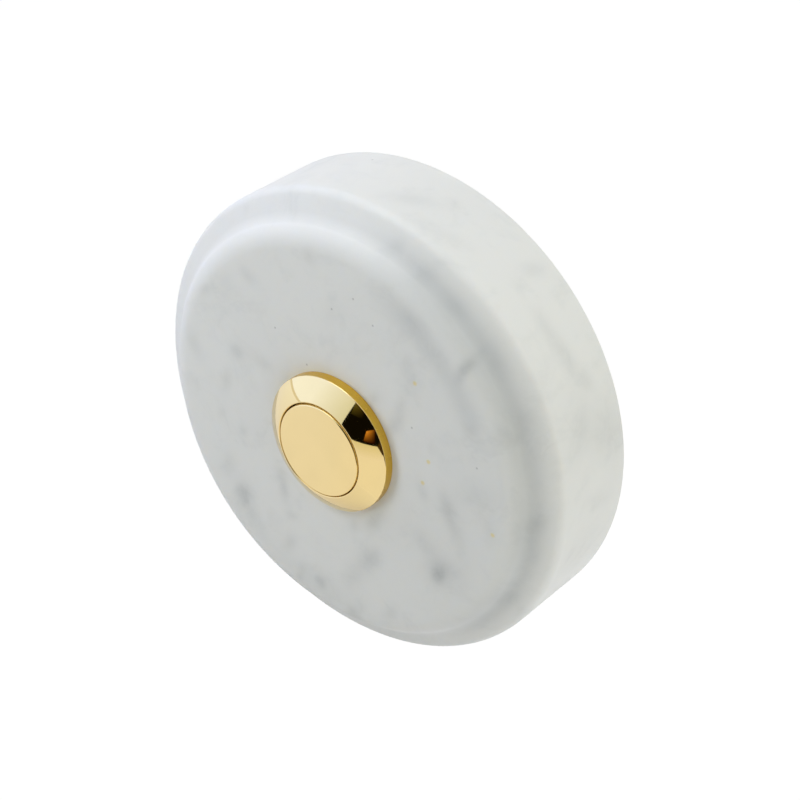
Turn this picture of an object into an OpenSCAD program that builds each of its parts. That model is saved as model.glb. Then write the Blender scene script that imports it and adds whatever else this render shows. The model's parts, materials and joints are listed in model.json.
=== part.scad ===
// Doorbell push button: a turned marble disc with a gold-plated push switch at its centre.
// Lengths are millimetres. The finished part hangs on a wall: +Z is up, the wall lies towards +Y
// and the origin is the centre of the back face. Every piece is drawn on a bench first, with its
// z axis pointing from the wall to the visitor, and to_wall() then stands it upright.

/* [Stone] */
// Diameter of the marble disc
stone_d = 75; // [66:1:120]
// Thickness of the marble disc
stone_t = 20; // [19.5:0.5:30]
// Width of the moulded edge around the flat face
ledge_w = 7.5; // [6.8:0.05:9]
// Height of the moulded edge, from the straight side to the face
step_h = 6; // [5.4:0.1:7.5]
// Radius of the rounded rim
rim_round = 1.9; // [1:0.1:2.5]
// Radius of the shoulder around the face
shoulder_round = 3.6; // [2.6:0.1:4]
// Radius of the cove under the shoulder
cove_round = 4; // [2.4:0.1:5]
// Angle of the sloping ledge between the cove and the rim
ledge_slope = 30; // [20:1:34]
// Small bevel around the back edge
back_bevel = 0.4; // [0.2:0.1:1.5]
// Diameter of the recess in the back
recess_d = 46; // [36:1:54]
// Stone left between the face and the recess
web_t = 8; // [6:0.5:10]
// Radius in the corner of the recess
recess_round = 1.5; // [0.5:0.1:2.5]

/* [Switch housing] */
// Outer diameter of the threaded barrel
thread_d = 19; // [18.6:0.1:22]
// Radial clearance of the barrel in the stone
hole_clear = 0.2; // [0.1:0.05:0.5]
// Overhang of the bezel beyond the barrel
flange_over = 1.5; // [1.3:0.1:3]
// Height of the bezel's straight side
flange_h = 1.5; // [1.2:0.1:3]
// Height of the bezel's cone
cone_h = 2.15; // [1:0.05:4]
// Bulge of the bezel's cone
cone_crown = 0.14; // [0.02:0.02:0.3]
// Thickness of the partition that guides the stem
partition_t = 2; // [1.5:0.1:3]
// Diameter of the rear bore that holds the contact block
rear_bore_d = 15.6; // [15:0.1:16]
// Thread left free behind the nut
thread_spare = 0.5; // [0.2:0.1:2]
// Width of the seal groove under the bezel
seal_groove_w = 0.9; // [0.6:0.05:1.1]
// Depth of the seal groove under the bezel
seal_groove_h = 0.8; // [0.5:0.05:1]

/* [Button] */
// Diameter of the button
button_d = 14.8; // [13:0.1:15.4]
// Radial gap between the button and the bezel
button_gap = 0.2; // [0.12:0.02:0.4]
// Height of the button from its face to the foot of its skirt
button_h = 6.1; // [5:0.1:8]
// Thickness of the button's crown
crown_t = 2.65; // [2:0.05:3.5]
// Wall of the button's skirt
skirt_t = 1.1; // [0.8:0.1:1.8]
// Radius around the button's face
button_round = 0.25; // [0.1:0.05:0.6]
// How far the button travels
travel = 2; // [1.2:0.1:3]
// Diameter of the stem
stem_d = 5; // [4:0.1:5.6]
// Running clearance of the stem in the partition
stem_clear = 0.05; // [0.02:0.01:0.1]
// Width of the seal groove around the button
ring_groove_h = 0.8; // [0.6:0.05:1.1]
// Depth of the seal groove around the button
ring_groove_w = 0.7; // [0.5:0.05:1]

/* [Springs and clip] */
// Wire of the return spring
return_wire = 0.7; // [0.5:0.05:0.8]
// Turns of the return spring
return_turns = 3.5; // [2.5:0.25:4]
// Wire of the contact spring
contact_wire = 0.35; // [0.25:0.05:0.4]
// Turns of the contact spring
contact_turns = 2.25; // [1.5:0.25:2.5]
// Height of the contact spring
contact_spring_h = 2.4; // [2.2:0.1:3.5]
// Thickness of the retaining clip
clip_t = 0.55; // [0.4:0.05:0.8]
// Outer diameter of the retaining clip
clip_d = 8.4; // [7.4:0.1:9.6]
// Depth of the clip's groove in the stem
clip_groove = 0.6; // [0.4:0.05:0.8]

/* [Plunger] */
// Outer diameter of the plunger's collar
collar_d = 6.8; // [6.4:0.1:8]
// Depth of the socket that takes the stem
socket_h = 0.9; // [0.5:0.1:1.5]
// Floor of the collar, which the contact spring bears on
collar_floor = 0.8; // [0.5:0.1:1.5]
// Diameter of the plunger's post
post_d = 2.4; // [2:0.1:2.8]
// Diameter of the staked head that carries the bridge
stake_d = 3.6; // [3.2:0.1:4]
// Thickness of the staked head
stake_h = 0.6; // [0.4:0.1:0.8]

/* [Contacts] */
// Travel left over once the contacts have met
overtravel = 0.5; // [0.2:0.1:0.8]
// Thickness of the contact bridge
bridge_t = 0.5; // [0.4:0.05:0.8]
// Width of the contact bridge
bridge_w = 3.4; // [2.8:0.1:3.8]
// Diameter of the spring seat at the bridge's middle
bridge_hub_d = 5.4; // [5:0.1:6]
// Diameter of a contact rivet
rivet_d = 2.2; // [1.6:0.1:2.6]
// Height of a rivet on the bridge
bridge_rivet_h = 0.4; // [0.3:0.05:0.6]
// Height of a rivet on a terminal
fixed_rivet_h = 0.5; // [0.4:0.05:0.8]
// Distance of a rivet from the end of the bridge
rivet_inset = 1.2; // [1:0.05:1.5]
// Thickness of the terminal strip under a rivet
pad_t = 0.5; // [0.4:0.05:0.8]
// Width of the terminal strip under a rivet
pad_w = 3; // [2.4:0.1:3.2]
// Thickness of a terminal's leg
leg_t = 0.6; // [0.4:0.05:0.8]
// Width of a terminal's leg
leg_w = 2.4; // [1.6:0.1:2.8]
// Thickness of a terminal's plate
plate_t = 0.6; // [0.4:0.05:0.8]
// Width of a terminal's plate
plate_w = 4.4; // [3.8:0.1:5]

/* [Contact block] */
// Clearance of the contact block in the rear bore
block_clear = 0.1; // [0.05:0.01:0.15]
// Width of the block's shoulder, which the snap ring bears on
block_shoulder = 0.8; // [0.6:0.05:1]
// Wall of the contact chamber
chamber_wall = 1; // [0.8:0.05:1.2]
// Floor of the contact chamber
block_floor = 2.2; // [2.2:0.1:3]
// Thickness of the snap ring
snap_t = 0.7; // [0.5:0.05:0.9]
// Depth of the snap ring's groove in the barrel
snap_bite = 0.45; // [0.3:0.05:0.6]
// Barrel left behind the snap ring
snap_land = 0.7; // [0.5:0.05:1.2]
// Opening of the snap ring in degrees
snap_open = 40; // [20:5:80]
// Thickness of the wall between the terminals
barrier_t = 0.9; // [0.6:0.1:1.4]

/* [Terminal screws] */
// Shank diameter of a terminal screw
screw_d = 2.4; // [2:0.1:2.6]
// Head diameter of a terminal screw
screw_head_d = 3.8; // [3.4:0.1:4.4]
// Head height of a terminal screw
screw_head_h = 1.2; // [0.8:0.1:1.4]
// Length of screw in the contact block
screw_grip = 1.7; // [1.2:0.1:1.8]
// Side of a square wire clamp
clamp_side = 4.4; // [3.8:0.1:4.8]
// Thickness of a wire clamp
clamp_t = 0.7; // [0.5:0.05:0.9]

/* [Nut and washers] */
// Wall of the nut at its flats, outside the thread
nut_wall = 1.5; // [1.2:0.1:2.5]
// Nut thickness
nut_t = 3; // [2.5:0.1:4]
// Reach of the fibre washer past the nut's corners
washer_over = 0.3; // [0:0.1:2.3]
// Thickness of the fibre washer
washer_t = 0.8; // [0.5:0.1:1.2]
// Reach of the nut's corners past the lock washer's teeth
lock_inset = 0.2; // [0:0.05:0.9]
// Thickness of the toothed lock washer
lock_t = 0.7; // [0.5:0.05:1]
// Teeth of the lock washer
lock_teeth = 16; // [10:1:20]

/* [Hidden] */
$fn = 96;

// Clearances shared by the pieces that seat on each other
seat = 0.05;
slack = 0.1;
contact_clear = 0.02;
cut = 1;

// Colours
marble_colour = "whitesmoke";
gold_colour = [0.86, 0.72, 0.40];
steel_colour = "silver";
black_colour = [0.12, 0.12, 0.13];
brass_colour = [0.78, 0.62, 0.30];
silver_colour = [0.80, 0.80, 0.78];
rubber_colour = [0.10, 0.10, 0.10];
fibre_colour = [0.55, 0.20, 0.13];

// Stone
stone_r = stone_d / 2;
face_r = stone_r - ledge_w;
side_h = stone_t - step_h;
shoulder_c = [face_r, stone_t - shoulder_round];
rim_c = [stone_r - rim_round, side_h];
ledge_up = [sin(ledge_slope), cos(ledge_slope)];
ledge_edge = rim_c + rim_round * ledge_up;
cove_c = rolled_up(ledge_edge + cove_round * ledge_up, [-ledge_up[1], ledge_up[0]],
    shoulder_c, shoulder_round + cove_round);
ledge_foot = cove_c - cove_round * ledge_up;
recess_z = stone_t - web_t;

// Bezel, bore and partition, worked out from the stone's face
thread_r = thread_d / 2;
hole_r = thread_r + hole_clear;
flange_r = thread_r + flange_over;
bezel_z = stone_t + flange_h + cone_h;
button_r = button_d / 2;
bore_r = button_r + button_gap;
stem_r = stem_d / 2;
skirt_in_r = button_r - skirt_t;
crown_z = bezel_z - crown_t;
skirt_z = bezel_z - button_h;
partition_top = skirt_z - travel - seat;
partition_z = partition_top - partition_t;
rear_bore_r = rear_bore_d / 2;
ring_groove_z = crown_z + (crown_t - button_round - ring_groove_h) / 2;

// Nut stack, worked out from the thread and the floor of the recess
nut_af = thread_d + 2 * nut_wall;
corner_r = nut_af / 2 / cos(30);
washer_r = corner_r + washer_over;
tooth_r = corner_r - lock_inset;
washer_z = recess_z - washer_t;
lock_z = washer_z - lock_t;
nut_z = lock_z - nut_t;
barrel_z = nut_z - thread_spare;

// Clip, plunger and contacts, stacked behind the partition
clip_z = partition_z - seat - clip_t;
collar_top = clip_z - slack;
stem_z = collar_top - socket_h;
spring_seat_z = stem_z - collar_floor;
bridge_top = spring_seat_z - contact_spring_h;
bridge_z = bridge_top - bridge_t;
contact_gap = travel - overtravel + contact_clear;
fixed_top = bridge_z - bridge_rivet_h - contact_gap;
pad_top = fixed_top - fixed_rivet_h;
floor_z = pad_top - pad_t;
block_z = floor_z - block_floor;
plate_z = block_z - plate_t;
clamp_z = plate_z - clamp_t;

// Contact block, worked out from the rear bore
cup_r = rear_bore_r - block_clear;
neck_r = cup_r - block_shoulder;
chamber_r = neck_r - chamber_wall;
snap_z = barrel_z + snap_land;
cup_z = snap_z + snap_t + seat;
cup_top = partition_z - seat;
guide_clear = 0.25;
guide_t = 0.9;
guide_reach = 1.5;
barrier_inset = 1;

// Places across the bridge, worked out from the chamber
bridge_clear = 0.7;
leg_clear = 0.5;
screw_land = 0.3;
bridge_half = chamber_r - bridge_clear;
contact_x = bridge_half - rivet_inset;
leg_x = chamber_r - leg_clear;
pad_reach = 0.3;
screw_r = screw_d / 2;
screw_x = leg_x - leg_t - screw_land - screw_r;
plate_reach = 0.6;
screw_slot = 0.5;

// Springs
rings_per_turn = 8;
tube_sides = 6;
coil_inset = 0.2;
return_coil_r = (stem_r + skirt_in_r) / 2;
contact_coil_r = (post_d / 2 + collar_d / 2) / 2 - coil_inset;

// Retaining clip
prong_w = 1.6;
band_share = 0.45;

// Where a circle's centre stops when it rolls from a point along a direction until it
// comes within reach of another centre
function rolled_up(start, along, centre, reach) =
    let (
        from = start - centre,
        b = from * along,
        c = from * from - pow(reach, 2)
    )
    start - (b + sqrt(pow(b, 2) - c)) * along;

// Points of a coil that rises from z0 to z1, with a straight run of one wire at each end
function coil_points(coil_r, wire, turns, z0, z1) =
    let (
        steps = ceil(turns * rings_per_turn),
        rise = (z1 - z0) / steps,
        along = function(i) let (a = 360 * turns * i / steps)
            [coil_r * cos(a), coil_r * sin(a), z0 + rise * i],
        end_a = 360 * turns
    )
    concat(
        [along(0) + wire * [0, -1, 0]],
        [for (i = [0 : steps]) along(i)],
        [along(steps) + wire * [-sin(end_a), cos(end_a), 0]]
    );

// Least distance between points that lie over half a turn apart, less the wire
function least_gap(points, wire) =
    min([
        for (i = [0 : len(points) - 1])
            for (j = [i + 1 : 1 : len(points) - 1])
                if (j - i > 0.6 * rings_per_turn) norm(points[i] - points[j])
    ]) - wire;

// One ring of the tube, square to the coil at point i
function tube_ring(points, i, wire) =
    let (
        last = len(points) - 1,
        ahead = points[min(i + 1, last)] - points[max(i - 1, 0)],
        tangent = ahead / norm(ahead),
        side = cross(tangent, [0, 0, 1]),
        across = side / norm(side),
        up = cross(across, tangent)
    )
    [for (k = [0 : tube_sides - 1])
        let (b = 360 * k / tube_sides)
            points[i] + wire / 2 * (cos(b) * across + sin(b) * up)];

// A closed tube along the points
module tube(points, wire) {
    last = len(points) - 1;
    n = tube_sides;
    verts = [for (i = [0 : last]) each tube_ring(points, i, wire)];
    walls = [
        for (i = [0 : last - 1])
            for (k = [0 : n - 1])
                let (a = i * n + k, b = i * n + (k + 1) % n)
                    each [[a, a + n, b], [b, a + n, b + n]]
    ];
    start_cap = [for (k = [1 : n - 2]) [0, k, k + 1]];
    end_cap = [for (k = [1 : n - 2]) [last * n, last * n + k + 1, last * n + k]];
    polyhedron(points = verts, faces = concat(walls, start_cap, end_cap));
}

// Stands a piece from the bench upright on the wall
module to_wall() {
    rotate([90, 0, 0]) children();
}

// A flat ring between two heights
module ring(r_out, r_in, z0, z1) {
    translate([0, 0, z0])
        linear_extrude(z1 - z0)
            difference() {
                circle(r_out);
                circle(r_in);
            }
}

// A box across the bridge axis, from x0 to x1 and z0 to z1, centred on y
module strip(x0, x1, width, z0, z1) {
    translate([x0, -width / 2, z0])
        cube([x1 - x0, width, z1 - z0]);
}

// Half section of the stone: side, rounded rim, cove, shoulder and face
module stone_section() {
    square([stone_r, side_h]);
    square([face_r, stone_t]);
    translate(rim_c)
        circle(rim_round);
    translate(shoulder_c)
        circle(shoulder_round);
    difference() {
        polygon([[0, side_h], rim_c, ledge_edge, ledge_foot, cove_c, shoulder_c]);
        translate(cove_c)
            circle(cove_round);
    }
}

module recess_section() {
    recess_r = recess_d / 2;
    translate([0, -cut])
        square([recess_r, recess_z - recess_round + cut]);
    square([recess_r - recess_round, recess_z]);
    translate([recess_r - recess_round, recess_z - recess_round])
        circle(recess_round);
}

module marble_body() {
    color(marble_colour)
    to_wall()
    rotate_extrude()
    difference() {
        stone_section();
        recess_section();
        translate([0, -cut])
            square([hole_r, stone_t + 2 * cut]);
        polygon([[stone_r - back_bevel, 0], [stone_r + cut, -cut], [stone_r, back_bevel]]);
    }
}

// The sliver between the straight cone of the bezel and its bulge
module crown_section() {
    outer = [flange_r, stone_t + flange_h];
    inner = [bore_r, bezel_z];
    width = norm(inner - outer);
    out = [inner[1] - outer[1], outer[0] - inner[0]] / width;
    crown_r = (width * width / 4 + cone_crown * cone_crown) / (2 * cone_crown);
    intersection() {
        polygon([outer, outer + cone_crown * out, inner + cone_crown * out, inner]);
        translate((outer + inner) / 2 - (crown_r - cone_crown) * out)
            circle(crown_r, $fn = 360);
    }
}

module switch_housing() {
    groove_r = hole_r + seal_groove_w;
    color(gold_colour)
    to_wall()
    rotate_extrude()
    difference() {
        union() {
            translate([0, barrel_z])
                square([thread_r, bezel_z - barrel_z]);
            polygon([
                [0, stone_t], [flange_r, stone_t], [flange_r, stone_t + flange_h],
                [bore_r, bezel_z], [0, bezel_z]
            ]);
            crown_section();
        }
        translate([0, partition_top])
            square([bore_r, bezel_z]);
        translate([0, barrel_z - cut])
            square([stem_r + stem_clear, bezel_z]);
        translate([0, barrel_z - cut])
            square([rear_bore_r, partition_z - barrel_z + cut]);
        translate([0, snap_z - seat])
            square([rear_bore_r + snap_bite, snap_t + 2 * seat]);
        translate([thread_r, stone_t - cut])
            square([groove_r - thread_r, seal_groove_h + cut]);
    }
}

module bezel_seal() {
    color(rubber_colour)
    to_wall()
    ring(hole_r + seal_groove_w - seat, hole_r, stone_t, stone_t + seal_groove_h - seat);
}

module button_section() {
    groove_in = button_r - ring_groove_w;
    difference() {
        union() {
            translate([0, skirt_z])
                square([button_r, button_h - button_round]);
            translate([0, skirt_z])
                square([button_r - button_round, button_h]);
            translate([button_r - button_round, bezel_z - button_round])
                circle(button_round);
        }
        translate([stem_r, skirt_z - cut])
            square([skirt_in_r - stem_r, crown_z - skirt_z + cut]);
        translate([groove_in, ring_groove_z])
            square([ring_groove_w + cut, ring_groove_h]);
    }
    difference() {
        translate([0, stem_z])
            square([stem_r, bezel_z - crown_t / 2 - stem_z]);
        translate([stem_r - clip_groove, clip_z - seat])
            square([clip_groove + cut, clip_t + 2 * seat]);
    }
}

module push_button() {
    color(gold_colour)
    to_wall()
    rotate_extrude()
    button_section();
}

module button_seal() {
    inner = button_r - ring_groove_w + seat;
    color(rubber_colour)
    to_wall()
    ring(bore_r - seat, inner, ring_groove_z + seat, ring_groove_z + ring_groove_h - seat);
}

module return_spring() {
    points = coil_points(return_coil_r, return_wire, return_turns,
        partition_top + return_wire / 2 + seat, crown_z - return_wire / 2 - seat);
    echo("return spring, least gap to itself in mm", least_gap(points, return_wire));
    color(steel_colour)
    to_wall()
    tube(points, return_wire);
}

// An E-shaped clip: an open ring with three prongs that reach into the stem's groove
module retaining_clip() {
    grip_r = stem_r - clip_groove + seat;
    clip_r = clip_d / 2;
    band = band_share * (clip_r - grip_r);
    mouth = 2 * grip_r;
    color(steel_colour)
    to_wall()
    translate([0, 0, clip_z])
    linear_extrude(clip_t)
    difference() {
        union() {
            difference() {
                circle(clip_r);
                circle(clip_r - band);
                translate([-mouth / 2, -clip_r - cut])
                    square([mouth, clip_r + cut]);
            }
            for (a = [0, 90, 180])
                rotate(a)
                translate([0, -prong_w / 2])
                    square([clip_r - band / 2, prong_w]);
        }
        circle(grip_r);
    }
}

module plunger_section() {
    translate([0, spring_seat_z])
        square([collar_d / 2, collar_top - spring_seat_z]);
    translate([0, bridge_z - stake_h / 2])
        square([post_d / 2, spring_seat_z - bridge_z + stake_h]);
    translate([0, bridge_z - stake_h])
        square([stake_d / 2, stake_h]);
}

module plunger() {
    color(black_colour)
    to_wall()
    rotate_extrude()
    difference() {
        plunger_section();
        translate([0, stem_z])
            square([stem_r + stem_clear, socket_h + cut]);
    }
}

module contact_spring() {
    points = coil_points(contact_coil_r, contact_wire, contact_turns,
        bridge_top + contact_wire / 2 + seat, spring_seat_z - contact_wire / 2 - seat);
    echo("contact spring, least gap to itself in mm", least_gap(points, contact_wire));
    color(steel_colour)
    to_wall()
    tube(points, contact_wire);
}

module contact_bridge() {
    color(brass_colour)
    to_wall()
    translate([0, 0, bridge_z])
    linear_extrude(bridge_t)
    difference() {
        union() {
            square([2 * bridge_half, bridge_w], center = true);
            circle(bridge_hub_d / 2);
        }
        circle(post_d / 2 + slack);
    }
}

// A pair of low rivets with bevelled rims, one at each end of the bridge
module rivet_pair(z_seat, height, direction) {
    bevel = height / 2;
    rivet_r = rivet_d / 2;
    for (side = [-1, 1])
        translate([side * contact_x, 0, z_seat])
        mirror([0, 0, direction < 0 ? 1 : 0])
        rotate_extrude()
            polygon([
                [0, 0], [rivet_r, 0], [rivet_r, height - bevel], [rivet_r - bevel, height], [0, height]
            ]);
}

module bridge_contacts() {
    color(silver_colour)
    to_wall()
    rivet_pair(bridge_z, bridge_rivet_h, -1);
}

module fixed_contacts() {
    color(silver_colour)
    to_wall()
    rivet_pair(pad_top, fixed_rivet_h, 1);
}

// A folded strip: pad under the rivet, leg through the floor and plate under the screw
module terminal() {
    color(brass_colour)
    difference() {
        union() {
            strip(contact_x - rivet_d / 2 - pad_reach, leg_x, pad_w, floor_z, pad_top);
            strip(leg_x - leg_t, leg_x, leg_w, plate_z, pad_top);
            strip(screw_x - screw_r - plate_reach, leg_x, plate_w, plate_z, block_z);
        }
        translate([screw_x, 0, plate_z - cut])
            cylinder(r = screw_r + seat, h = plate_t + 2 * cut);
    }
}

module terminal_right() {
    to_wall()
    terminal();
}

module terminal_left() {
    to_wall()
    mirror([1, 0, 0])
    terminal();
}

module block_section() {
    difference() {
        union() {
            translate([0, block_z])
                square([neck_r, cup_top - block_z]);
            translate([0, cup_z])
                square([cup_r, cup_top - cup_z]);
        }
        translate([0, floor_z])
            square([chamber_r, cup_top]);
    }
}

// Four ribs in the chamber that keep the bridge from turning
module bridge_guides() {
    guide_y = bridge_w / 2 + guide_clear;
    wall_x = sqrt(pow(chamber_r + chamber_wall / 2, 2) - pow(guide_y + guide_t, 2));
    for (mx = [0, 1])
        for (my = [0, 1])
            mirror([mx, 0, 0])
            mirror([0, my, 0])
            translate([wall_x - guide_reach, guide_y, floor_z - block_floor / 2])
                cube([guide_reach, guide_t, bridge_top - floor_z + block_floor / 2]);
}

module switch_base() {
    barrier_l = 2 * (neck_r - barrier_inset);
    color(black_colour)
    to_wall()
    difference() {
        union() {
            rotate_extrude()
                block_section();
            bridge_guides();
            translate([-barrier_t / 2, -barrier_l / 2, clamp_z - screw_head_h / 2])
                cube([barrier_t, barrier_l, block_z - clamp_z + screw_head_h / 2 + cut]);
        }
        for (mx = [0, 1])
            mirror([mx, 0, 0]) {
                strip(leg_x - leg_t - seat, leg_x + seat, leg_w + 2 * seat, block_z - cut, floor_z + cut);
                translate([screw_x, 0, block_z - cut])
                    cylinder(r = screw_r + seat, h = screw_grip + slack + cut);
            }
    }
}

// A flat open ring that snaps into the barrel behind the contact block
module base_retainer() {
    ring_out = rear_bore_r + snap_bite - seat;
    half = snap_open / 2;
    color(steel_colour)
    to_wall()
    translate([0, 0, snap_z])
    linear_extrude(snap_t)
    difference() {
        circle(ring_out);
        circle(neck_r + 2 * slack);
        polygon([
            [0, 0],
            2 * ring_out * [sin(half), -cos(half)],
            2 * ring_out * [-sin(half), -cos(half)]
        ]);
    }
}

module terminal_screws() {
    head_r = screw_head_d / 2;
    head_z = clamp_z - screw_head_h;
    color(steel_colour)
    to_wall()
    for (side = [-1, 1])
        translate([side * screw_x, 0, 0])
        difference() {
            union() {
                translate([0, 0, head_z])
                    cylinder(r1 = head_r - screw_head_h / 3, r2 = head_r, h = screw_head_h / 3);
                translate([0, 0, head_z + screw_head_h / 3])
                    cylinder(r = head_r, h = screw_head_h * 2 / 3);
                translate([0, 0, clamp_z - screw_head_h / 3])
                    cylinder(r = screw_r, h = block_z + screw_grip - clamp_z + screw_head_h / 3);
            }
            translate([-head_r - cut, -screw_slot / 2, head_z - cut])
                cube([2 * head_r + 2 * cut, screw_slot, screw_head_h / 2 + cut]);
        }
}

module wire_clamps() {
    color(brass_colour)
    to_wall()
    for (side = [-1, 1])
        translate([side * screw_x, 0, clamp_z])
        linear_extrude(clamp_t)
        difference() {
            square(clamp_side, center = true);
            circle(screw_r + seat);
        }
}

module fibre_washer() {
    color(fibre_colour)
    to_wall()
    ring(washer_r, thread_r + slack, washer_z, recess_z);
}

module lock_washer() {
    band_r = (thread_r + tooth_r) / 2 + slack;
    tooth_w = PI * tooth_r / lock_teeth;
    color(steel_colour)
    to_wall()
    translate([0, 0, lock_z])
    linear_extrude(lock_t)
    difference() {
        union() {
            circle(band_r);
            for (i = [0 : lock_teeth - 1])
                rotate(360 * i / lock_teeth)
                translate([0, -tooth_w / 2])
                    square([tooth_r, tooth_w]);
        }
        circle(thread_r + slack);
    }
}

module hex_nut() {
    bevel = corner_r - nut_af / 2;
    color(gold_colour)
    to_wall()
    translate([0, 0, nut_z])
    difference() {
        intersection() {
            cylinder(r = corner_r, h = nut_t, $fn = 6);
            union() {
                cylinder(r1 = nut_af / 2, r2 = corner_r + bevel, h = bevel);
                translate([0, 0, bevel])
                    cylinder(r = corner_r + bevel, h = nut_t - bevel);
            }
        }
        translate([0, 0, -cut])
            cylinder(r = thread_r + seat, h = nut_t + 2 * cut);
    }
}

marble_body();
switch_housing();
bezel_seal();
push_button();
button_seal();
return_spring();
retaining_clip();
plunger();
contact_spring();
contact_bridge();
bridge_contacts();
terminal_left();
terminal_right();
fixed_contacts();
switch_base();
base_retainer();
terminal_screws();
wire_clamps();
fibre_washer();
lock_washer();
hex_nut();
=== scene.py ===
"""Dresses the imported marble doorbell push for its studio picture.

Every new piece is a surface worked out with numpy on a bench, in millimetres, with z
pointing from the wall to the visitor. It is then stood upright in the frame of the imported
model, in metres: +Z is up, the wall lies towards +Y and the origin is the centre of the
disc's back face.
"""

import json
import logging
import math
from collections.abc import Sequence
from dataclasses import dataclass
from enum import Enum

import bmesh
import bpy
import numpy as np
from mathutils import Matrix


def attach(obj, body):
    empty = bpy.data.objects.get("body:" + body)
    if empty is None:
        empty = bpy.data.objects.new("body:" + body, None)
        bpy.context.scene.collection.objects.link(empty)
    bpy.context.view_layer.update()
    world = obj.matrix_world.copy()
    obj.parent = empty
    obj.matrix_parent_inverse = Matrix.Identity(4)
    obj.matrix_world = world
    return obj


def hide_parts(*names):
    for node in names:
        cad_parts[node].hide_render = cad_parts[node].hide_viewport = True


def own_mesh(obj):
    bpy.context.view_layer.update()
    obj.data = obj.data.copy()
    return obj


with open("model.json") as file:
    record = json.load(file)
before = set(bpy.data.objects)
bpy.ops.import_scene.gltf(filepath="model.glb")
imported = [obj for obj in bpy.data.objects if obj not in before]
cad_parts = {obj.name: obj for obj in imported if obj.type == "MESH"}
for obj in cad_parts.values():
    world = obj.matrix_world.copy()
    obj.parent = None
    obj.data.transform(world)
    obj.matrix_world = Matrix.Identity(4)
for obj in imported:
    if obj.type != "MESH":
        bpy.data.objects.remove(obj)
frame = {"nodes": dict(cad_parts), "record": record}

Array = np.ndarray
Colour = tuple[float, float, float]
Corner = tuple[float, float, float]
Pair = tuple[float, float]
Finishes = dict[str, bpy.types.Material]
Socket = bpy.types.NodeSocket

# A millimetre in metres
MM = 0.001
# Points closer than this are one, in metres
MERGE = 2e-7
# Points this near to a height, or to a turned surface, lie on it, in millimetres
NEAR = 0.05
SKIN = 0.01
# What the cards stand round and what the lamps point to, in metres
BEZEL = np.array([0.0, -0.022, 0.0])
LAMP_AIM = np.array([0.0, -0.02, 0.0])
LOG = logging.getLogger("bell_push")


class Body(Enum):
    """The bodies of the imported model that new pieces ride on."""

    DISC = "disc"
    BUTTON = "button"


class Shade(float, Enum):
    """How dark a mark is: its share of the mark's colour at the middle. Most are grey marks of the stone, and
    a few paint shade.
    """

    HINT = 0.08
    FAINT = 0.14
    PLAIN = 0.23
    DEEP = 0.36


class Rows(Enum):
    """Whether a grid's last row joins its first."""

    OPEN = False
    CLOSED = True


# Surfaces


@dataclass(frozen=True)
class Grid:
    """A surface as points on a grid of two parameters, whose columns always close.

    Attributes:
        points: Bench points, rows by columns by 3, in millimetres.
        rows: Whether the last row joins the first.
    """

    points: Array
    rows: Rows = Rows.CLOSED

    def quads(self, first: int) -> Array:
        """Join neighbouring points: point (i, j) has the index first + i * columns + j.

        Args:
            first: Index of the grid's first point in its mesh.

        Returns:
            One row of four indices for each quad.
        """
        rows, columns = self.points.shape[:2]
        i = np.arange(rows if self.rows is Rows.CLOSED else rows - 1)[:, None]
        j = np.arange(columns)[None, :]
        below, beside = (i + 1) % rows, (j + 1) % columns
        corners = (i * columns + j, i * columns + beside,
                   below * columns + beside, below * columns + j)
        return first + np.stack(np.broadcast_arrays(*corners), -1).reshape(-1, 4)


def to_wall(points: Array) -> Array:
    """Stand bench points (x, y, z) upright on the wall, as (x, -z, y) in metres."""
    return np.stack([points[..., 0], -points[..., 2], points[..., 1]], -1) * MM


def unit(vectors: Array) -> Array:
    """Scale each vector to length 1, and leave a zero vector at zero."""
    length = np.linalg.norm(vectors, axis=-1, keepdims=True)
    return vectors / np.maximum(length, 1e-12)


def rounded(corners: Sequence[Corner], steps: int = 9, margin: float = 0.05) -> Array:
    """Round the corners of a closed polygon with arcs.

    A circle touches both edges of a corner at radius / tan(half angle) from it, and the
    arc turns evenly from one touch point to the other. One point more, a small margin
    further along each edge, keeps the shading of the flats flat.

    Args:
        corners: The polygon's corners as (x, y, radius).
        steps: Points on each arc.
        margin: Distance of the extra points from the arcs.

    Returns:
        The outline's points, one row of x and y each.
    """
    data = np.asarray(corners, float)
    corner, radius = data[:, :2], data[:, 2:]
    back = unit(np.roll(corner, 1, 0) - corner)
    ahead = unit(np.roll(corner, -1, 0) - corner)
    half = np.arccos(np.clip((back * ahead).sum(1, keepdims=True), -1, 1)) / 2
    reach = radius / np.tan(half)
    centre = corner + unit(back + ahead) * radius / np.sin(half)
    turn = np.clip(np.pi - 2 * half, 1e-9, np.pi - 1e-9)[:, None]
    start = (corner + back * reach - centre)[:, None]
    stop = (corner + ahead * reach - centre)[:, None]
    share = np.linspace(0, 1, steps)[None, :, None]
    swing = np.sin((1 - share) * turn) * start + np.sin(share * turn) * stop
    arc = centre[:, None] + swing / np.sin(turn)
    lead = np.where(radius > 0, margin, 0.0)
    before = (corner + back * (reach + lead))[:, None]
    after = (corner + ahead * (reach + lead))[:, None]
    line = np.concatenate([before, arc, after], 1).reshape(-1, 2)
    apart = np.linalg.norm(line - np.roll(line, 1, 0), axis=1) > 1e-6
    return line[apart]


def densify(outline: Array, longest: float) -> Array:
    """Split the edges of a closed outline into equal parts no longer than a length.

    Args:
        outline: The outline's points.
        longest: Longest edge to leave, in millimetres.

    Returns:
        The outline with the new points on its edges.
    """
    ahead = np.roll(outline, -1, 0) - outline
    parts = np.maximum(1, np.ceil(np.linalg.norm(ahead, axis=1) / longest)).astype(int)
    index = np.repeat(np.arange(len(outline)), parts)
    step = np.arange(parts.sum()) - np.repeat(np.cumsum(parts) - parts, parts)
    return outline[index] + ahead[index] * (step / parts[index])[:, None]


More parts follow.
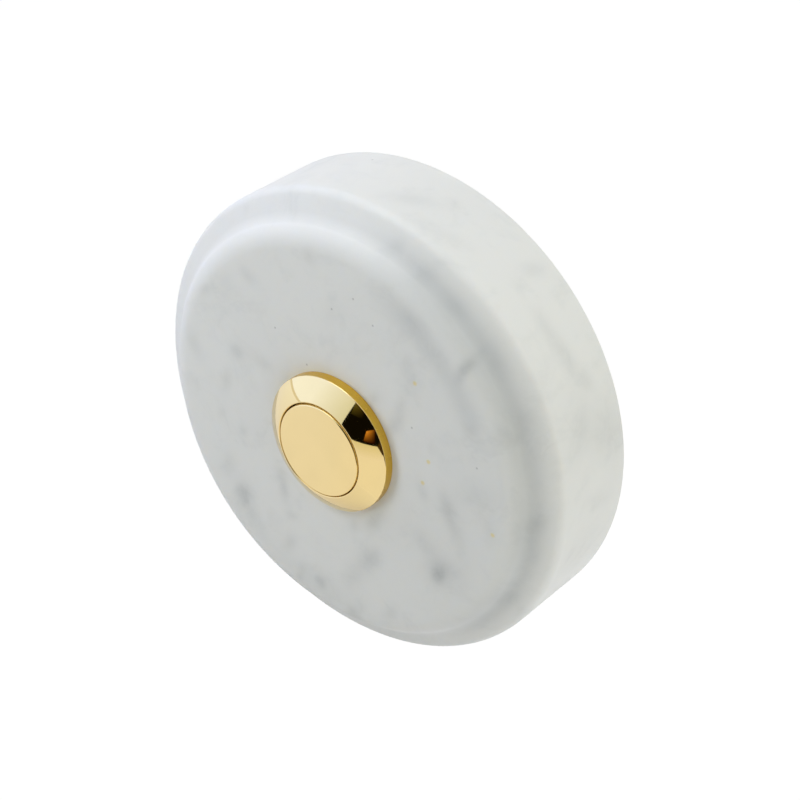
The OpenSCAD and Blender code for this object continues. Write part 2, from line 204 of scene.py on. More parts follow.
def circle(radius: float, points: int) -> Array:
    """Points of a circle: (radius * cos a, radius * sin a) for equal steps of a."""
    angle = np.linspace(0, 2 * np.pi, points, endpoint=False)
    return radius * np.stack([np.cos(angle), np.sin(angle)], -1)


def lathe(profile: Array, turns: int, rows: Rows = Rows.CLOSED) -> Grid:
    """Turn a profile about the bench's z axis: (r * cos a, r * sin a, z) over all a.

    Args:
        profile: Points of the profile as radius and height.
        turns: Steps of the angle a in a full turn.
        rows: Whether the profile is closed.

    Returns:
        The turned surface.
    """
    ring = circle(1.0, turns)[None]
    radius, height = profile[:, None, :1], profile[:, None, 1:]
    flat = radius * ring
    return Grid(np.concatenate([flat, np.broadcast_to(height, flat[..., :1].shape)], -1), rows)


def inset(outline: Array, depth: Array) -> Array:
    """Move an outline inwards along its normals, once for each depth.

    Args:
        outline: Counter-clockwise closed outline.
        depth: Depths in millimetres; a negative depth moves it outwards.

    Returns:
        Outlines, one for each depth.
    """
    along = unit(np.roll(outline, -1, 0) - np.roll(outline, 1, 0))
    outwards = np.stack([along[:, 1], -along[:, 0]], -1)
    return outline[None] - depth[:, None, None] * outwards[None]


def plate(outline: Array, low: float, high: float, soften: float,
          hole: Array | None = None) -> Grid:
    """Make a flat plate with softened edges from its outline.

    The section starts at the hole or the middle of the low face and runs round the edge:
    near each face the outline draws in by soften * (1 - cos t) while the height changes
    by soften * (1 - sin t), which rounds the edge. The edge of a hole is rounded likewise.

    Args:
        outline: Counter-clockwise outline.
        low: Height of the lower face.
        high: Height of the upper face.
        soften: Radius of the softened edges.
        hole: Outline of a hole, with as many points as the outline.

    Returns:
        The closed surface of the plate.
    """
    t = np.linspace(0, np.pi / 2, 4)
    draw_in = soften * np.concatenate([1 - np.sin(t), 1 - np.cos(t)])
    level = np.concatenate([low + soften * (1 - np.cos(t)), high - soften * (1 - np.sin(t))])
    edge = inset(outline, draw_in)
    if hole is None:
        middle = np.broadcast_to(outline.mean(0), (1, *outline.shape))
        flat = np.concatenate([middle, edge, middle])
        level = np.concatenate([[low], level, [high]])
        rows = Rows.OPEN
    else:
        flat = np.concatenate([edge, inset(hole, -draw_in[::-1])])
        level = np.concatenate([level, level[::-1]])
        rows = Rows.CLOSED
    height = np.broadcast_to(level[:, None, None], flat[..., :1].shape)
    return Grid(np.concatenate([flat, height], -1), rows)


def moved(grid: Grid, x: float) -> Grid:
    """Shift a grid along the bench's x axis."""
    return Grid(grid.points + np.array([x, 0.0, 0.0]), grid.rows)


def rectangle(low: Pair, high: Pair, radius: float, steps: int = 4,
              margin: float = 0.03) -> Array:
    """Return a rounded rectangle.

    Args:
        low: Its low left corner.
        high: Its high right corner.
        radius: Radius of its corners.
        steps: Points on each corner.
        margin: As for rounded.

    Returns:
        Its outline, counter-clockwise from the low right corner.
    """
    (left, bottom), (right, top) = low, high
    corners = ((right, bottom), (right, top), (left, top), (left, bottom))
    return rounded([(*corner, radius) for corner in corners], steps, margin)


def arc_bar(section: Array, start: float, stop: float, steps: int) -> Grid:
    """Carry a section of radius and height along an arc, and close both ends.

    Args:
        section: Closed section as radius and height.
        start: First angle in radians.
        stop: Last angle in radians.
        steps: Sections along the arc.

    Returns:
        The bar, whose first and last rows shrink to the section's middle.
    """
    angle = np.linspace(start, stop, steps)[[0, *range(steps), steps - 1], None]
    middle = np.broadcast_to(section.mean(0), section.shape)
    shape = np.concatenate([middle[None], np.repeat(section[None], steps, 0), middle[None]])
    radius, height = shape[..., 0], shape[..., 1]
    return Grid(np.stack([radius * np.cos(angle), radius * np.sin(angle), height], -1), Rows.OPEN)


# Finishes


class Nodes:
    """Adds and links the shader nodes of a material or of the world."""

    def __init__(self, owner: bpy.types.Material | bpy.types.World, place: str = "Object") -> None:
        """Start the owner's nodes with one kind of coordinates.

        Args:
            owner: The material or the world.
            place: Name of the coordinates that its textures use.
        """
        owner.use_nodes = True
        self.owner = owner
        self.tree = owner.node_tree
        self.place = self.add("TexCoord").outputs[place]

    @classmethod
    def material(cls, name: str) -> "Nodes":
        """Start the nodes of a new material."""
        return cls(bpy.data.materials.new(name))

    def feed(self, socket: Socket, value: object) -> None:
        """Link a socket to an output, or set its value.

        Args:
            socket: The input.
            value: An output, a number, a vector or a colour.
        """
        if isinstance(value, Socket):
            self.tree.links.new(value, socket)
        elif isinstance(value, tuple) and socket.type == "RGBA":
            socket.default_value = (*value[:3], 1.0)
        else:
            socket.default_value = value

    def add(self, kind: str, *values: object, **settings: object) -> bpy.types.Node:
        """Add a node.

        Args:
            kind: The node's type without its common prefix.
            values: Values or outputs for its first inputs, in order.
            settings: Its properties by their own names.

        Returns:
            The new node.
        """
        node = self.tree.nodes.new("ShaderNode" + kind)
        for key, value in settings.items():
            setattr(node, key, value)
        for socket, value in zip(node.inputs, values):
            self.feed(socket, value)
        return node

    def set(self, **inputs: object) -> None:
        """Set or link inputs of the surface shader, named with _ for each space.

        Args:
            inputs: Values or outputs by the names of the inputs.
        """
        surface = next(node for node in self.tree.nodes if node.type == "BSDF_PRINCIPLED")
        for key, value in inputs.items():
            self.feed(surface.inputs[key.replace("_", " ")], value)

    def show(self, shader: bpy.types.Node) -> None:
        """Make another shader the one that shows."""
        target = next(node for node in self.tree.nodes if node.type.startswith("OUTPUT_"))
        self.tree.links.new(shader.outputs[0], target.inputs["Surface"])

    def math(self, operation: str, *values: object) -> Socket:
        """Return the result of a math node."""
        return self.add("Math", *values, operation=operation).outputs[0]

    def times(self, value: object, factor: object) -> Socket:
        """Return value * factor."""
        return self.math("MULTIPLY", value, factor)

    def line(self, base: float, value: object, slope: float) -> Socket:
        """Return base + slope * value."""
        return self.math("MULTIPLY_ADD", value, slope, base)

    def noise(self, scale: float, detail: float, roughness: float,
              place: object = None) -> Socket:
        """Return a noise from 0 to 1.

        Args:
            scale: Waves per metre.
            detail: Octaves of finer waves.
            roughness: Share of the finer waves.
            place: Coordinates to use instead of the plain ones.

        Returns:
            The noise.
        """
        node = self.add("TexNoise", place or self.place)
        for key, value in (("Scale", scale), ("Detail", detail), ("Roughness", roughness)):
            node.inputs[key].default_value = value
        return node.outputs[0]

    def band(self, value: object, low: float, high: float, top: float = 1.0) -> Socket:
        """Return a smooth step of a value, from 0 at low to top at high."""
        node = self.add("MapRange", value, low, high, 0.0, top, interpolation_type="SMOOTHSTEP")
        return node.outputs[0]

    def mix(self, share: object, one: object, other: object) -> Socket:
        """Return a colour between two colours.

        Args:
            share: Share of the second colour.
            one: The first colour.
            other: The second colour.

        Returns:
            The mixed colour.
        """
        node = self.add("Mix", data_type="RGBA")
        for index, value in ((0, share), (6, one), (7, other)):
            self.feed(node.inputs[index], value)
        return node.outputs[2]

    def attribute(self, name: str) -> Socket:
        """Return a number that is stored on the mesh."""
        return self.add("Attribute", attribute_name=name).outputs["Fac"]

    def stretched(self, x: float, y: float, z: float) -> Socket:
        """Return object coordinates scaled along each axis."""
        return self.add("Mapping", self.place, (0, 0, 0), (0, 0, 0), (x, y, z)).outputs[0]

    def bump(self, height: object, distance: float) -> None:
        """Give the surface a relief.

        Args:
            height: The relief from 0 to 1.
            distance: Its depth in metres.
        """
        node = self.add("Bump")
        for key, value in (("Strength", 1.0), ("Distance", distance), ("Height", height)):
            self.feed(node.inputs[key], value)
        self.set(Normal=node.outputs[0])


@dataclass(frozen=True)
class MarbleFinish:
    """Honed white marble with grey clouds, smudges, a band, wisps and mineral specks, and shade painted in
    the cove, beside the bezel and low on the face.

    Attributes:
        name: Name of the material.
        white: Colour of the clean stone.
        cloud: Colour of its broad clouds.
        smudge_and_shade: Colour of its grey marks and wisps, and of the shade painted beside the bezel and
            low on the face.
        band: Colour of the painted bands: shade in the cove, and a grey band inside the face's edge.
        rust: Colour of its iron specks.
        rust_r: Radius of an iron speck in millimetres.
        pin: Colour of its dark pin specks.
        pin_r: Radius of a pin speck in millimetres.
        stir: How far its clouds are stirred, in metres.
        honed: Least roughness of the honed stone.
        sawn: Roughness where the stone is left sawn.
        relief: Depth of its grain and its turning rings, in metres.
    """

    name: str
    white: Colour = (0.858, 0.863, 0.858)
    cloud: Colour = (0.72, 0.735, 0.74)
    smudge_and_shade: Colour = (0.30, 0.325, 0.34)
    band: Colour = (0.30, 0.335, 0.37)
    rust: Colour = (0.84, 0.68, 0.18)
    rust_r: float = 0.50
    pin: Colour = (0.16, 0.16, 0.16)
    pin_r: float = 0.25
    stir: float = 0.010
    honed: float = 0.36
    sawn: float = 0.72
    relief: float = 0.00008

    def specks(self, nodes: Nodes, spots: Sequence[Corner], radius: float) -> Socket:
        """Return a mask of small soft balls around points.

        Args:
            nodes: The marble's nodes.
            spots: Row points in millimetres.
            radius: Radius of a ball in millimetres; its inner quarter is solid.

        Returns:
            A mask from 0 to 1.
        """
        mask: object = 0.0
        for spot in spots:
            point = tuple(value * MM for value in spot)
            apart = nodes.add("VectorMath", nodes.place, point, operation="DISTANCE").outputs["Value"]
            mask = nodes.math("MAXIMUM", mask, nodes.band(apart, radius * MM, radius * 0.25 * MM))
        return mask

    def stirred(self, nodes: Nodes) -> Socket:
        """Return the coordinates, each moved by a noise of its own.

        Args:
            nodes: The marble's nodes.

        Returns:
            The stirred coordinates.
        """
        swirl = nodes.add("TexNoise", nodes.place)
        swirl.inputs["Scale"].default_value = 70.0
        offset = nodes.add("VectorMath", swirl.outputs["Color"], (0.5, 0.5, 0.5), operation="SUBTRACT")
        drift = nodes.add("VectorMath", offset.outputs[0], (self.stir,) * 3, operation="MULTIPLY")
        return nodes.add("VectorMath", nodes.place, drift.outputs[0]).outputs[0]

    def build(self) -> bpy.types.Material:
        """Make the material, with layers of colour from broad clouds to small specks.

        Returns:
            The material.
        """
        nodes = Nodes.material(self.name)
        stirred = self.stirred(nodes)
        clouds = nodes.band(nodes.noise(48.0, 4.0, 0.55, stirred), 0.42, 0.72)
        mottle = nodes.noise(210.0, 5.0, 0.62, stirred)
        ragged = nodes.band(nodes.noise(420.0, 3.0, 0.6, stirred), 0.25, 0.72)
        grain = nodes.noise(2400.0, 2.0, 0.5)
        ridge = nodes.math("ABSOLUTE", nodes.math("SUBTRACT", nodes.noise(62.0, 5.0, 0.6, stirred), 0.5))
        wisps = nodes.times(nodes.band(ridge, 0.035, 0.0), clouds)
        # Grey marks of the stone, with painted shade beside the bezel and low on the face
        marks = nodes.times(nodes.attribute("smudge_and_shade"), nodes.line(0.68, ragged, 0.38))
        layers = (
            (nodes.times(clouds, 0.18), self.cloud),
            (nodes.band(mottle, 0.50, 0.80, 0.38), self.cloud),
            (nodes.times(wisps, 0.06), self.smudge_and_shade),
            (nodes.band(grain, 0.55, 0.9, 0.10), self.cloud),
            (nodes.math("MINIMUM", marks, 1.0), self.smudge_and_shade),
            # Painted shade in the cove, and a grey band inside the face's edge
            (nodes.attribute("painted_bands"), self.band),
            (nodes.times(self.specks(nodes, RUST_SPOTS, self.rust_r), 0.62), self.rust),
            (nodes.times(self.specks(nodes, PIN_SPOTS, self.pin_r), 0.36), self.pin),
        )
        colour: object = self.white
        for share, tone in layers:
            colour = nodes.mix(share, colour, tone)
        sawn = nodes.attribute("sawn")
        polish = nodes.line(self.honed, mottle, 0.16)
        nodes.set(Base_Color=colour, Subsurface_Weight=0.65, Subsurface_Scale=0.0009,
                  Subsurface_Radius=(1.0, 0.92, 0.82), Specular_IOR_Level=0.42,
                  Roughness=nodes.math("MAXIMUM", polish, nodes.times(sawn, self.sawn)))
        rings = nodes.add("TexWave", nodes.place, wave_type="RINGS", rings_direction="Y")
        for key, value in (("Scale", 260.0), ("Distortion", 0.6), ("Detail", 2.0)):
            rings.inputs[key].default_value = value
        cut = nodes.times(rings.outputs["Fac"], nodes.times(sawn, 0.3))
        nodes.bump(nodes.math("ADD", nodes.times(grain, 0.10), cut), self.relief)
        return nodes.owner


@dataclass(frozen=True)
class GoldFinish:
    """Gold plating over polished brass.

    Attributes:
        name: Name of the material.
        roughness: Roughness of the polish.
        tone: Colour of the plating.
        worn: Share of the tone that is left where the plating is a little hazy.
        deep: Deeper, more saturated gold of the turned side, where the mesh stores a share of it; it paints
            the side's shade.
        gap: Colour painted inside the button's gap, a bright and mostly diffuse brass that paints light into
            its shade.
        ripple: Depth of the polish's slight waves, in metres.
    """

    name: str
    roughness: float
    tone: Colour = (0.83, 0.64, 0.30)
    worn: float = 0.965
    deep: Colour = (0.80, 0.51, 0.075)
    gap: Colour = (0.90, 0.66, 0.20)
    ripple: float = 0.0

    def build(self) -> bpy.types.Material:
        """Make the material.

        Returns:
            The material.
        """
        nodes = Nodes.material(self.name)
        haze = nodes.band(nodes.noise(160.0, 3.0, 0.5), 0.3, 0.75)
        fine = nodes.noise(5200.0, 2.0, 0.6, nodes.stretched(1.0, 0.15, 1.0))
        side = nodes.attribute("turned_side_shade")
        painted_gap_light = nodes.attribute("in_gap")
        colour = nodes.mix(haze, self.tone, tuple(value * self.worn for value in self.tone))
        # Painted shade: the turned side takes a deeper, more saturated gold
        colour = nodes.mix(side, colour, self.deep)
        # Painted light: inside the gap the gold turns to bright, mostly diffuse brass, here and in Metallic
        # below
        colour = nodes.mix(painted_gap_light, colour, self.gap)
        rough = nodes.math("ADD", nodes.line(self.roughness, fine, 0.05), nodes.times(side, 0.22))
        nodes.set(Base_Color=colour, Metallic=nodes.line(1.0, painted_gap_light, -0.85), Roughness=rough)
        if self.ripple:
            nodes.bump(nodes.noise(330.0, 1.0, 0.4), self.ripple)
        return nodes.owner


@dataclass(frozen=True)
class MetalFinish:
    """Plain plated or drawn metal with fine streaks and a little tarnish.

    Attributes:
        name: Name of the material.
        tone: Colour of clean metal.
        tarnish: Colour of its dull patches.
        roughness: Roughness of clean metal.
        streak: Stretch of its streaks along each axis.
        relief: Depth of its streaks in metres.
    """

    name: str
    tone: Colour
    tarnish: Colour
    roughness: float
    streak: Corner = (1.0, 0.08, 1.0)
    relief: float = 0.000006

    def build(self) -> bpy.types.Material:
        """Make the material.

        Returns:
            The material.
        """
        nodes = Nodes.material(self.name)
        patches = nodes.band(nodes.noise(380.0, 4.0, 0.6), 0.45, 0.8)
        lines = nodes.noise(5200.0, 2.0, 0.6, nodes.stretched(*self.streak))
        colour = nodes.mix(nodes.times(patches, 0.5), self.tone, self.tarnish)
        nodes.set(Base_Color=colour, Metallic=1.0, Roughness=nodes.line(self.roughness, lines, 0.14))
        nodes.bump(lines, self.relief)
        return nodes.owner


@dataclass(frozen=True)
class MouldedFinish:
    """Moulded or pressed stuff that isn't metal: plastic, rubber or fibre.

    Attributes:
        name: Name of the material.
        tone: Main colour.
        fleck: Colour of its flecks.
        roughness: Mean roughness.
        grain: Waves per metre of its grain.
        relief: Depth of its grain in metres.
        stretch: Stretch of its grain along each axis.
    """

    name: str
    tone: Colour
    fleck: Colour
    roughness: float
    grain: float = 3200.0
    relief: float = 0.00002
    stretch: Corner = (1.0, 1.0, 1.0)

    def build(self) -> bpy.types.Material:
        """Make the material.

        Returns:
            The material.
        """
        nodes = Nodes.material(self.name)
        grain = nodes.noise(self.grain, 3.0, 0.6, nodes.stretched(*self.stretch))
        cloud = nodes.noise(260.0, 3.0, 0.5)
        colour = nodes.mix(nodes.band(grain, 0.45, 0.75), self.tone, self.fleck)
        nodes.set(Base_Color=colour, Roughness=nodes.line(self.roughness - 0.06, cloud, 0.12),
                  Specular_IOR_Level=0.4)
        nodes.bump(grain, self.relief)
        return nodes.owner


# One finish for each of the record's slots
FINISHES = (
    MarbleFinish("marble"),
    GoldFinish("gold_bezel", roughness=0.02),
    GoldFinish("gold_button", roughness=0.09, ripple=0.0000012),
    GoldFinish("gold_nut", roughness=0.20, tone=(0.80, 0.63, 0.30)),
    MouldedFinish("seal_rubber", (0.025, 0.025, 0.025), (0.05, 0.05, 0.05), 0.8),
    MetalFinish("spring_steel", (0.62, 0.62, 0.61), (0.42, 0.42, 0.43), 0.24),
    MetalFinish("plated_steel", (0.72, 0.72, 0.70), (0.56, 0.55, 0.50), 0.28),
    MetalFinish("contact_brass", (0.76, 0.57, 0.25), (0.60, 0.42, 0.18), 0.27),
    MetalFinish("contact_silver", (0.83, 0.82, 0.79), (0.62, 0.60, 0.55), 0.3),
    MouldedFinish("black_moulding", (0.022, 0.022, 0.025), (0.04, 0.04, 0.043), 0.45),
    MouldedFinish("fibre", (0.36, 0.085, 0.045), (0.24, 0.05, 0.03), 0.72, grain=2200.0,
                  relief=0.00003, stretch=(1.0, 4.0, 0.25)),
)


# Pieces


@dataclass(frozen=True)
class Place:
    """Where a piece belongs.

    Attributes:
        body: The body that it rides on.
        slot: The record's material slot.
        node: The node that it stands for.
    """

    body: Body
    slot: str
    node: str


def make_piece(name: str, grids: Sequence[Grid], finishes: Finishes, place: Place,
               sharp: float = 35.0) -> bpy.types.Object:
    """Turn grids into one closed mesh piece and hang it on its body.

    Args:
        name: The piece's name.
        grids: Its surfaces in bench millimetres.
        finishes: The part's materials by their slots.
        place: Where it belongs.
        sharp: Angle in degrees past which an edge stays sharp.

    Returns:
        The piece.
    """
    points = np.concatenate([grid.points.reshape(-1, 3) for grid in grids])
    counts = [grid.points.shape[0] * grid.points.shape[1] for grid in grids]
    firsts = np.cumsum([0, *counts[:-1]])
    quads = np.concatenate([grid.quads(first) for grid, first in zip(grids, firsts)])
    mesh = bpy.data.meshes.new(name)
    mesh.from_pydata(to_wall(points).tolist(), [], quads.tolist())
    shell = bmesh.new()
    shell.from_mesh(mesh)
    bmesh.ops.remove_doubles(shell, verts=shell.verts, dist=MERGE)
    bmesh.ops.dissolve_degenerate(shell, dist=MERGE, edges=shell.edges)
    bmesh.ops.recalc_face_normals(shell, faces=shell.faces)
    shell.to_mesh(mesh)
    shell.free()
    mesh.polygons.foreach_set("use_smooth", np.ones(len(mesh.polygons), bool))
    mesh.set_sharp_from_angle(angle=math.radians(sharp))
    mesh.materials.append(finishes[place.slot])
    piece = bpy.data.objects.new(name, mesh)
    bpy.context.scene.collection.objects.link(piece)
    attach(piece, place.body.value)
    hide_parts(place.node)
    LOG.info("%s: %d faces on %s", name, len(mesh.polygons), place.body.value)
    return piece


def bench_points(piece: bpy.types.Object) -> Array:
    """Read a piece's points back as bench (x, y, z) in millimetres.

    Args:
        piece: The piece.

    Returns:
        One row for each point.
    """
    flat = np.zeros(len(piece.data.vertices) * 3, np.float32)
    piece.data.vertices.foreach_get("co", flat)
    row = flat.reshape(-1, 3).astype(float) / MM
    return np.stack([row[:, 0], row[:, 2], -row[:, 1]], -1)


def store(piece: bpy.types.Object, name: str, values: Array) -> None:
    """Keep one number for each point of a piece, for its material to read."""
    layer = piece.data.attributes.new(name, "FLOAT", "POINT")
    layer.data.foreach_set("value", values.astype(np.float32))


def smooth_step(values: Array, low: float, high: float) -> Array:
    """Rise from 0 at low to 1 at high as 3 * t * t - 2 * t * t * t."""
    t = np.clip((values - low) / (high - low), 0, 1)
    return t * t * (3 - 2 * t)


def by_shade(table: dict[Shade, Sequence[Sequence[float]]]) -> Array:
    """Write marks that are grouped by shade as rows that end with their shade."""
    return np.array([(*mark, shade) for shade, marks in table.items() for mark in marks])


# Grey marks on the face and the moulded edge, placed from the photograph; some keep
# rounded sizes and leans of an earlier fit. Each has x and z of its middle, half length, half
# width, and lean of the length from +X in degrees
# Most are grey marks of the stone; those at (11.5, 7.5), (7.5, 10.0) and (7.5, -11.0) paint the bezel's
# contact shadow, and the broad one at (-4.0, -29.0) paints shade low on the face
FACE_SMUDGES_AND_SHADE = by_shade({
    Shade.DEEP: (
        (19.5, -15.5, 1.1, 0.8, 80), (-19.0, -18.0, 1.8, 1.3, 75), (23.5, 21.0, 1.3, 0.6, 60),
    ),
    Shade.PLAIN: (
        (20.5, -14.5, 2.5, 1.5, 30), (21.0, -3.0, 1.8, 1.0, 105), (-10.5, -12.5, 2.0, 0.7, 95),
        (6.5, -18.5, 1.9, 1.2, 55), (-3.5, -27.5, 1.0, 0.8, 70), (3.0, -30.5, 1.2, 0.8, 50),
        (7.5, -11.0, 1.8, 0.8, 60), (11.5, 7.5, 1.8, 0.8, 60), (-19.0, 8.0, 1.1, 0.9, 30),
        (34.0, -1.5, 1.8, 1.1, 60),
    ),
    Shade.FAINT: (
        (17.5, -11.5, 2.5, 1.3, 140), (22.5, -6.5, 2.5, 1.0, 110), (-17.0, -22.0, 2.0, 1.2, 120),
        (-22.0, -13.5, 1.8, 1.0, 70), (3.5, -23.0, 2.0, 1.2, 60), (-7.5, -28.0, 1.3, 0.5, 75),
        (10.5, -27.0, 1.5, 0.8, 60), (-9.5, -23.0, 1.5, 0.8, 60), (-9.0, -17.5, 0.8, 0.6, 30),
        (3.5, -14.0, 1.0, 0.7, 65), (12.5, 11.0, 1.2, 0.6, 60), (7.5, 10.0, 1.2, 0.7, 45),
        (-14.0, 8.0, 1.5, 0.8, 170), (-28.0, 6.0, 1.7, 0.9, 115), (-21.5, 2.0, 1.8, 0.8, 70),
        (-16.0, 22.0, 1.2, 0.8, 150), (-25.0, 16.5, 1.2, 0.6, 40), (-4.0, 29.0, 1.1, 0.7, 110),
        (-18.5, -6.0, 0.9, 0.6, 60), (14.5, 25.5, 2.4, 1.1, 150), (22.5, 19.0, 1.0, 0.6, 75),
        (14.5, 31.0, 1.0, 0.8, 20), (19.5, 28.0, 1.4, 0.7, 150), (9.0, 33.5, 1.0, 0.7, 35),
        (26.5, 22.0, 2.0, 1.1, 125), (14.0, 16.5, 2.0, 1.3, 100), (16.5, -2.0, 1.4, 0.7, 105),
        (25.0, 12.0, 0.8, 0.7, 60), (29.5, 12.0, 1.1, 0.8, 170), (33.5, -6.0, 2.6, 1.2, 85),
        (30.0, -16.0, 2.0, 1.1, 60), (-4.0, -29.0, 7.0, 2.5, 170),
    ),
    Shade.HINT: (
        (26.0, 1.0, 3.0, 1.5, 20), (-20.5, 18.5, 1.8, 1.1, 80), (0.0, 21.5, 1.8, 1.0, 60),
        (-23.0, -4.5, 0.9, 0.6, 60), (28.5, -4.0, 1.6, 0.8, 90), (31.5, 14.5, 2.5, 1.2, 115),
    ),
})

# Grey marks round the side, those on the seen part placed one by one: angle from +X in degrees,
# distance from the wall, half length, half width, and lean of the length
SIDE_SMUDGES = by_shade({
    Shade.PLAIN: (
        (165.0, 5.5, 2.4, 1.4, 60), (246.0, 11.0, 1.8, 1.0, 15), (301.0, 9.0, 2.4, 1.0, 55),
    ),
    Shade.FAINT: (
        (80.5, 9.5, 2.6, 1.1, 35), (31.0, 7.5, 2.4, 1.0, 0), (39.0, 8.5, 2.6, 0.9, 5),
        (26.0, 5.5, 1.3, 0.7, 20), (52.0, 4.5, 1.6, 0.8, 70), (13.0, 4.5, 3.2, 2.2, 60),
        (18.0, 9.5, 2.5, 1.3, 150), (132.0, 7.5, 3.4, 1.2, 30), (190.0, 10.0, 3.0, 1.0, 20),
        (222.0, 6.0, 3.4, 1.3, 50), (272.0, 6.5, 3.0, 1.2, 35), (326.0, 5.0, 2.8, 1.2, 30),
    ),
    Shade.HINT: (
        (50.5, 8.5, 0.8, 0.7, 0), (-2.0, 7.0, 2.5, 0.8, 65), (74.0, 5.5, 0.9, 0.6, 0),
        (67.0, 11.5, 1.5, 0.8, 20), (-13.0, 8.5, 4.0, 3.0, 130),
    ),
})


@dataclass(frozen=True)
class PaintedBand:
    """A soft grey band painted along a circle of the face.

    Attributes:
        radius: Radius of the circle.
        half_wide: Distance from the circle to where the band has faded to 0.6 of its strength.
        start: Angle from +X, in degrees, where the band begins.
        stop: Angle where it ends.
        fade: Length of each end's fade, in degrees.
        strength: Share of the mark's colour in the middle.
    """

    radius: float
    half_wide: float
    start: float
    stop: float
    fade: float
    strength: float

    def share(self, radius: Array, angle: Array) -> Array:
        """Fade across as exp(-q * q / 2), with q in half widths, and smoothly at both ends.

        Args:
            radius: Radius of each point.
            angle: Angle of each point from +X, in radians.

        Returns:
            The band's share of the colour at each point.
        """
        across = np.exp(-0.5 * ((radius - self.radius) / self.half_wide) ** 2)
        turned = np.degrees(angle)
        ends = (smooth_step(turned, self.start, self.start + self.fade)
                * smooth_step(turned, self.stop, self.stop - self.fade))
        return self.strength * across * ends


# The first band paints the cove's shade on the right, from below it up to the top; the second is a grey band
# inside the face's edge at the upper right
PAINTED_BANDS = (
    PaintedBand(radius=33.7, half_wide=1.3, start=-64.0, stop=88.0, fade=28.0, strength=0.32),
    PaintedBand(radius=28.0, half_wide=1.5, start=14.0, stop=80.0, fade=20.0, strength=0.18),
)

# Iron specks and dark pin specks, as row points in millimetres
RUST_SPOTS = ((15.0, -20.0, 15.5), (17.5, -20.0, 3.5), (16.5, -20.0, -0.5), (29.0, -20.0, -4.0))
PIN_SPOTS = ((4.0, -20.0, 25.0), (0.0, -20.0, 22.0), (-11.0, -20.0, 15.0), (7.5, -20.0, 22.0),
             (-5.0, -20.0, 11.0), (26.0, -20.0, 6.0), (14.5, -20.0, 8.0), (-6.5, -3.0, 37.0))


